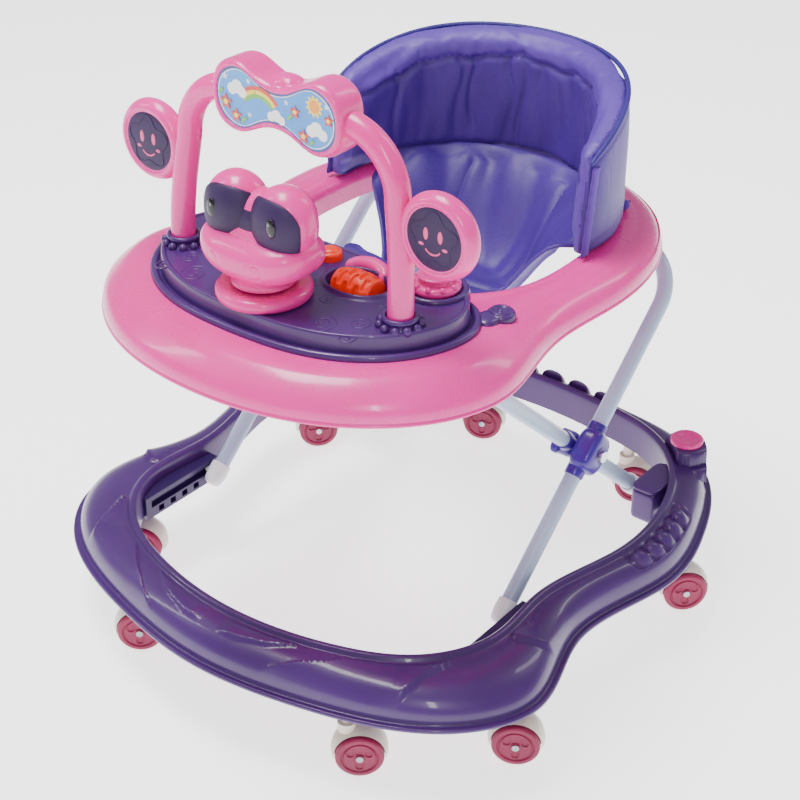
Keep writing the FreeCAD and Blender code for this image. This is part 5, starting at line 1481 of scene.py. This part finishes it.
def finish_nodes():
    """Gives each part that keeps its own shape the finish of its slot."""
    finishes = {"purple_gloss": PURPLE, "dark_purple": DARK_PURPLE, "pink_gloss": PINK,
                "caster_pink": PINK_RED, "cream_plastic": CREAM, "violet_plastic": VIOLET,
                "white_plastic": WHITE, "orange_plastic": ORANGE, "black_gloss": BLACK,
                "tube_paint": PAINT, "steel": STEEL, "chrome": CHROME, "seat_fabric": SEAT,
                "label_print": PRINTS["sky"]}
    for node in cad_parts.values():
        for spot in node.material_slots:
            for slot, finish in finishes.items():
                if spot.material and slot in spot.material.name:
                    spot.material = finish
                    break


# ---------------------------------------------------------------- floor, light, camera

def stage_and_light():
    """Flat pale floor, even white surroundings, one wide light above and three narrow ones for long
    highlights."""
    bpy.ops.mesh.primitive_plane_add(size=30)
    floor = bpy.context.object
    floor.name = "floor"
    material = bpy.data.materials.new("pale_floor")
    material.use_nodes = True
    shader = material.node_tree.nodes["Principled BSDF"]
    shader.inputs["Base Color"].default_value = (0.9, 0.9, 0.905, 1)
    shader.inputs["Roughness"].default_value = 0.6
    shader.inputs["Emission Color"].default_value = (1, 1, 1, 1)
    shader.inputs["Emission Strength"].default_value = 2.0
    floor.data.materials.append(material)
    world = bpy.data.worlds.new("studio")
    world.use_nodes = True
    world.node_tree.nodes["Background"].inputs["Color"].default_value = (1.0, 1.0, 1.0, 1)
    world.node_tree.nodes["Background"].inputs["Strength"].default_value = 0.5
    bpy.context.scene.world = world
    for name, place, size, power in (
            ("overhead", (-0.5, -0.3, 2.4), (1.1, 0.7), 62),
            ("strip_front", (1.6, -2.0, 2.2), (0.2, 1.2), 24),
            ("strip_left", (-2.0, -1.2, 1.9), (0.2, 1.2), 14),
            ("strip_back", (0.9, 1.8, 2.1), (0.3, 1.4), 12)):
        light = bpy.data.lights.new(name, "AREA")
        light.shape = "RECTANGLE"
        light.size, light.size_y = size
        light.energy = power
        lamp = bpy.data.objects.new(name, light)
        lamp.location = place
        aim_at(lamp, (0, 0, 0.3))
        bpy.context.scene.collection.objects.link(lamp)


def aim_at(thing, target):
    """Turns a lamp or camera so that its -Z points at the target and its +Y is up."""
    gap = np.array(target, float) - np.array(thing.location)
    thing.rotation_euler = (math.atan2(math.hypot(gap[0], gap[1]), -gap[2]), 0,
                            math.atan2(-gap[0], gap[1]))


CAMERA_PLACE, CAMERA_AIM = (0.943, -1.1814, 1.151), (0, 0, 0.229)
CAMERA_LENS, CAMERA_SENSOR = 75.7, 36


def camera():
    """A long lens in front on the +X side, looking down at the middle of the walker."""
    lens = bpy.data.cameras.new("camera")
    lens.sensor_width = CAMERA_SENSOR
    lens.lens = CAMERA_LENS
    lens.dof.use_dof = False
    eye = bpy.data.objects.new("camera", lens)
    eye.location = CAMERA_PLACE
    aim_at(eye, CAMERA_AIM)
    bpy.context.scene.collection.objects.link(eye)
    bpy.context.scene.camera = eye


base_shell()
bracket_housings()
corner_caps()
all_wheels()
leg_tube("front_tube", FRONT_LEG_X, LEAN, "front_leg", "front_leg_tube")
leg_tube("rear_tube", REAR_LEG_X, math.pi - LEAN, "rear_leg", "rear_leg_tube")
for side, sign in SIDES:
    clamp_block(side, sign)
    roller(side, sign)
    dial(side, sign)
clips()
foot_plugs()
tray_ring()
toy_tray()
tray_fittings()
pink_arcs()
squeaker()
toy_head()
eye_mask()
arch()
picture_box()
picture()
plaques()
padded_wall()
rim_cord()
edge_tape()
sling()
stitches()
finish_nodes()
stage_and_light()
camera()
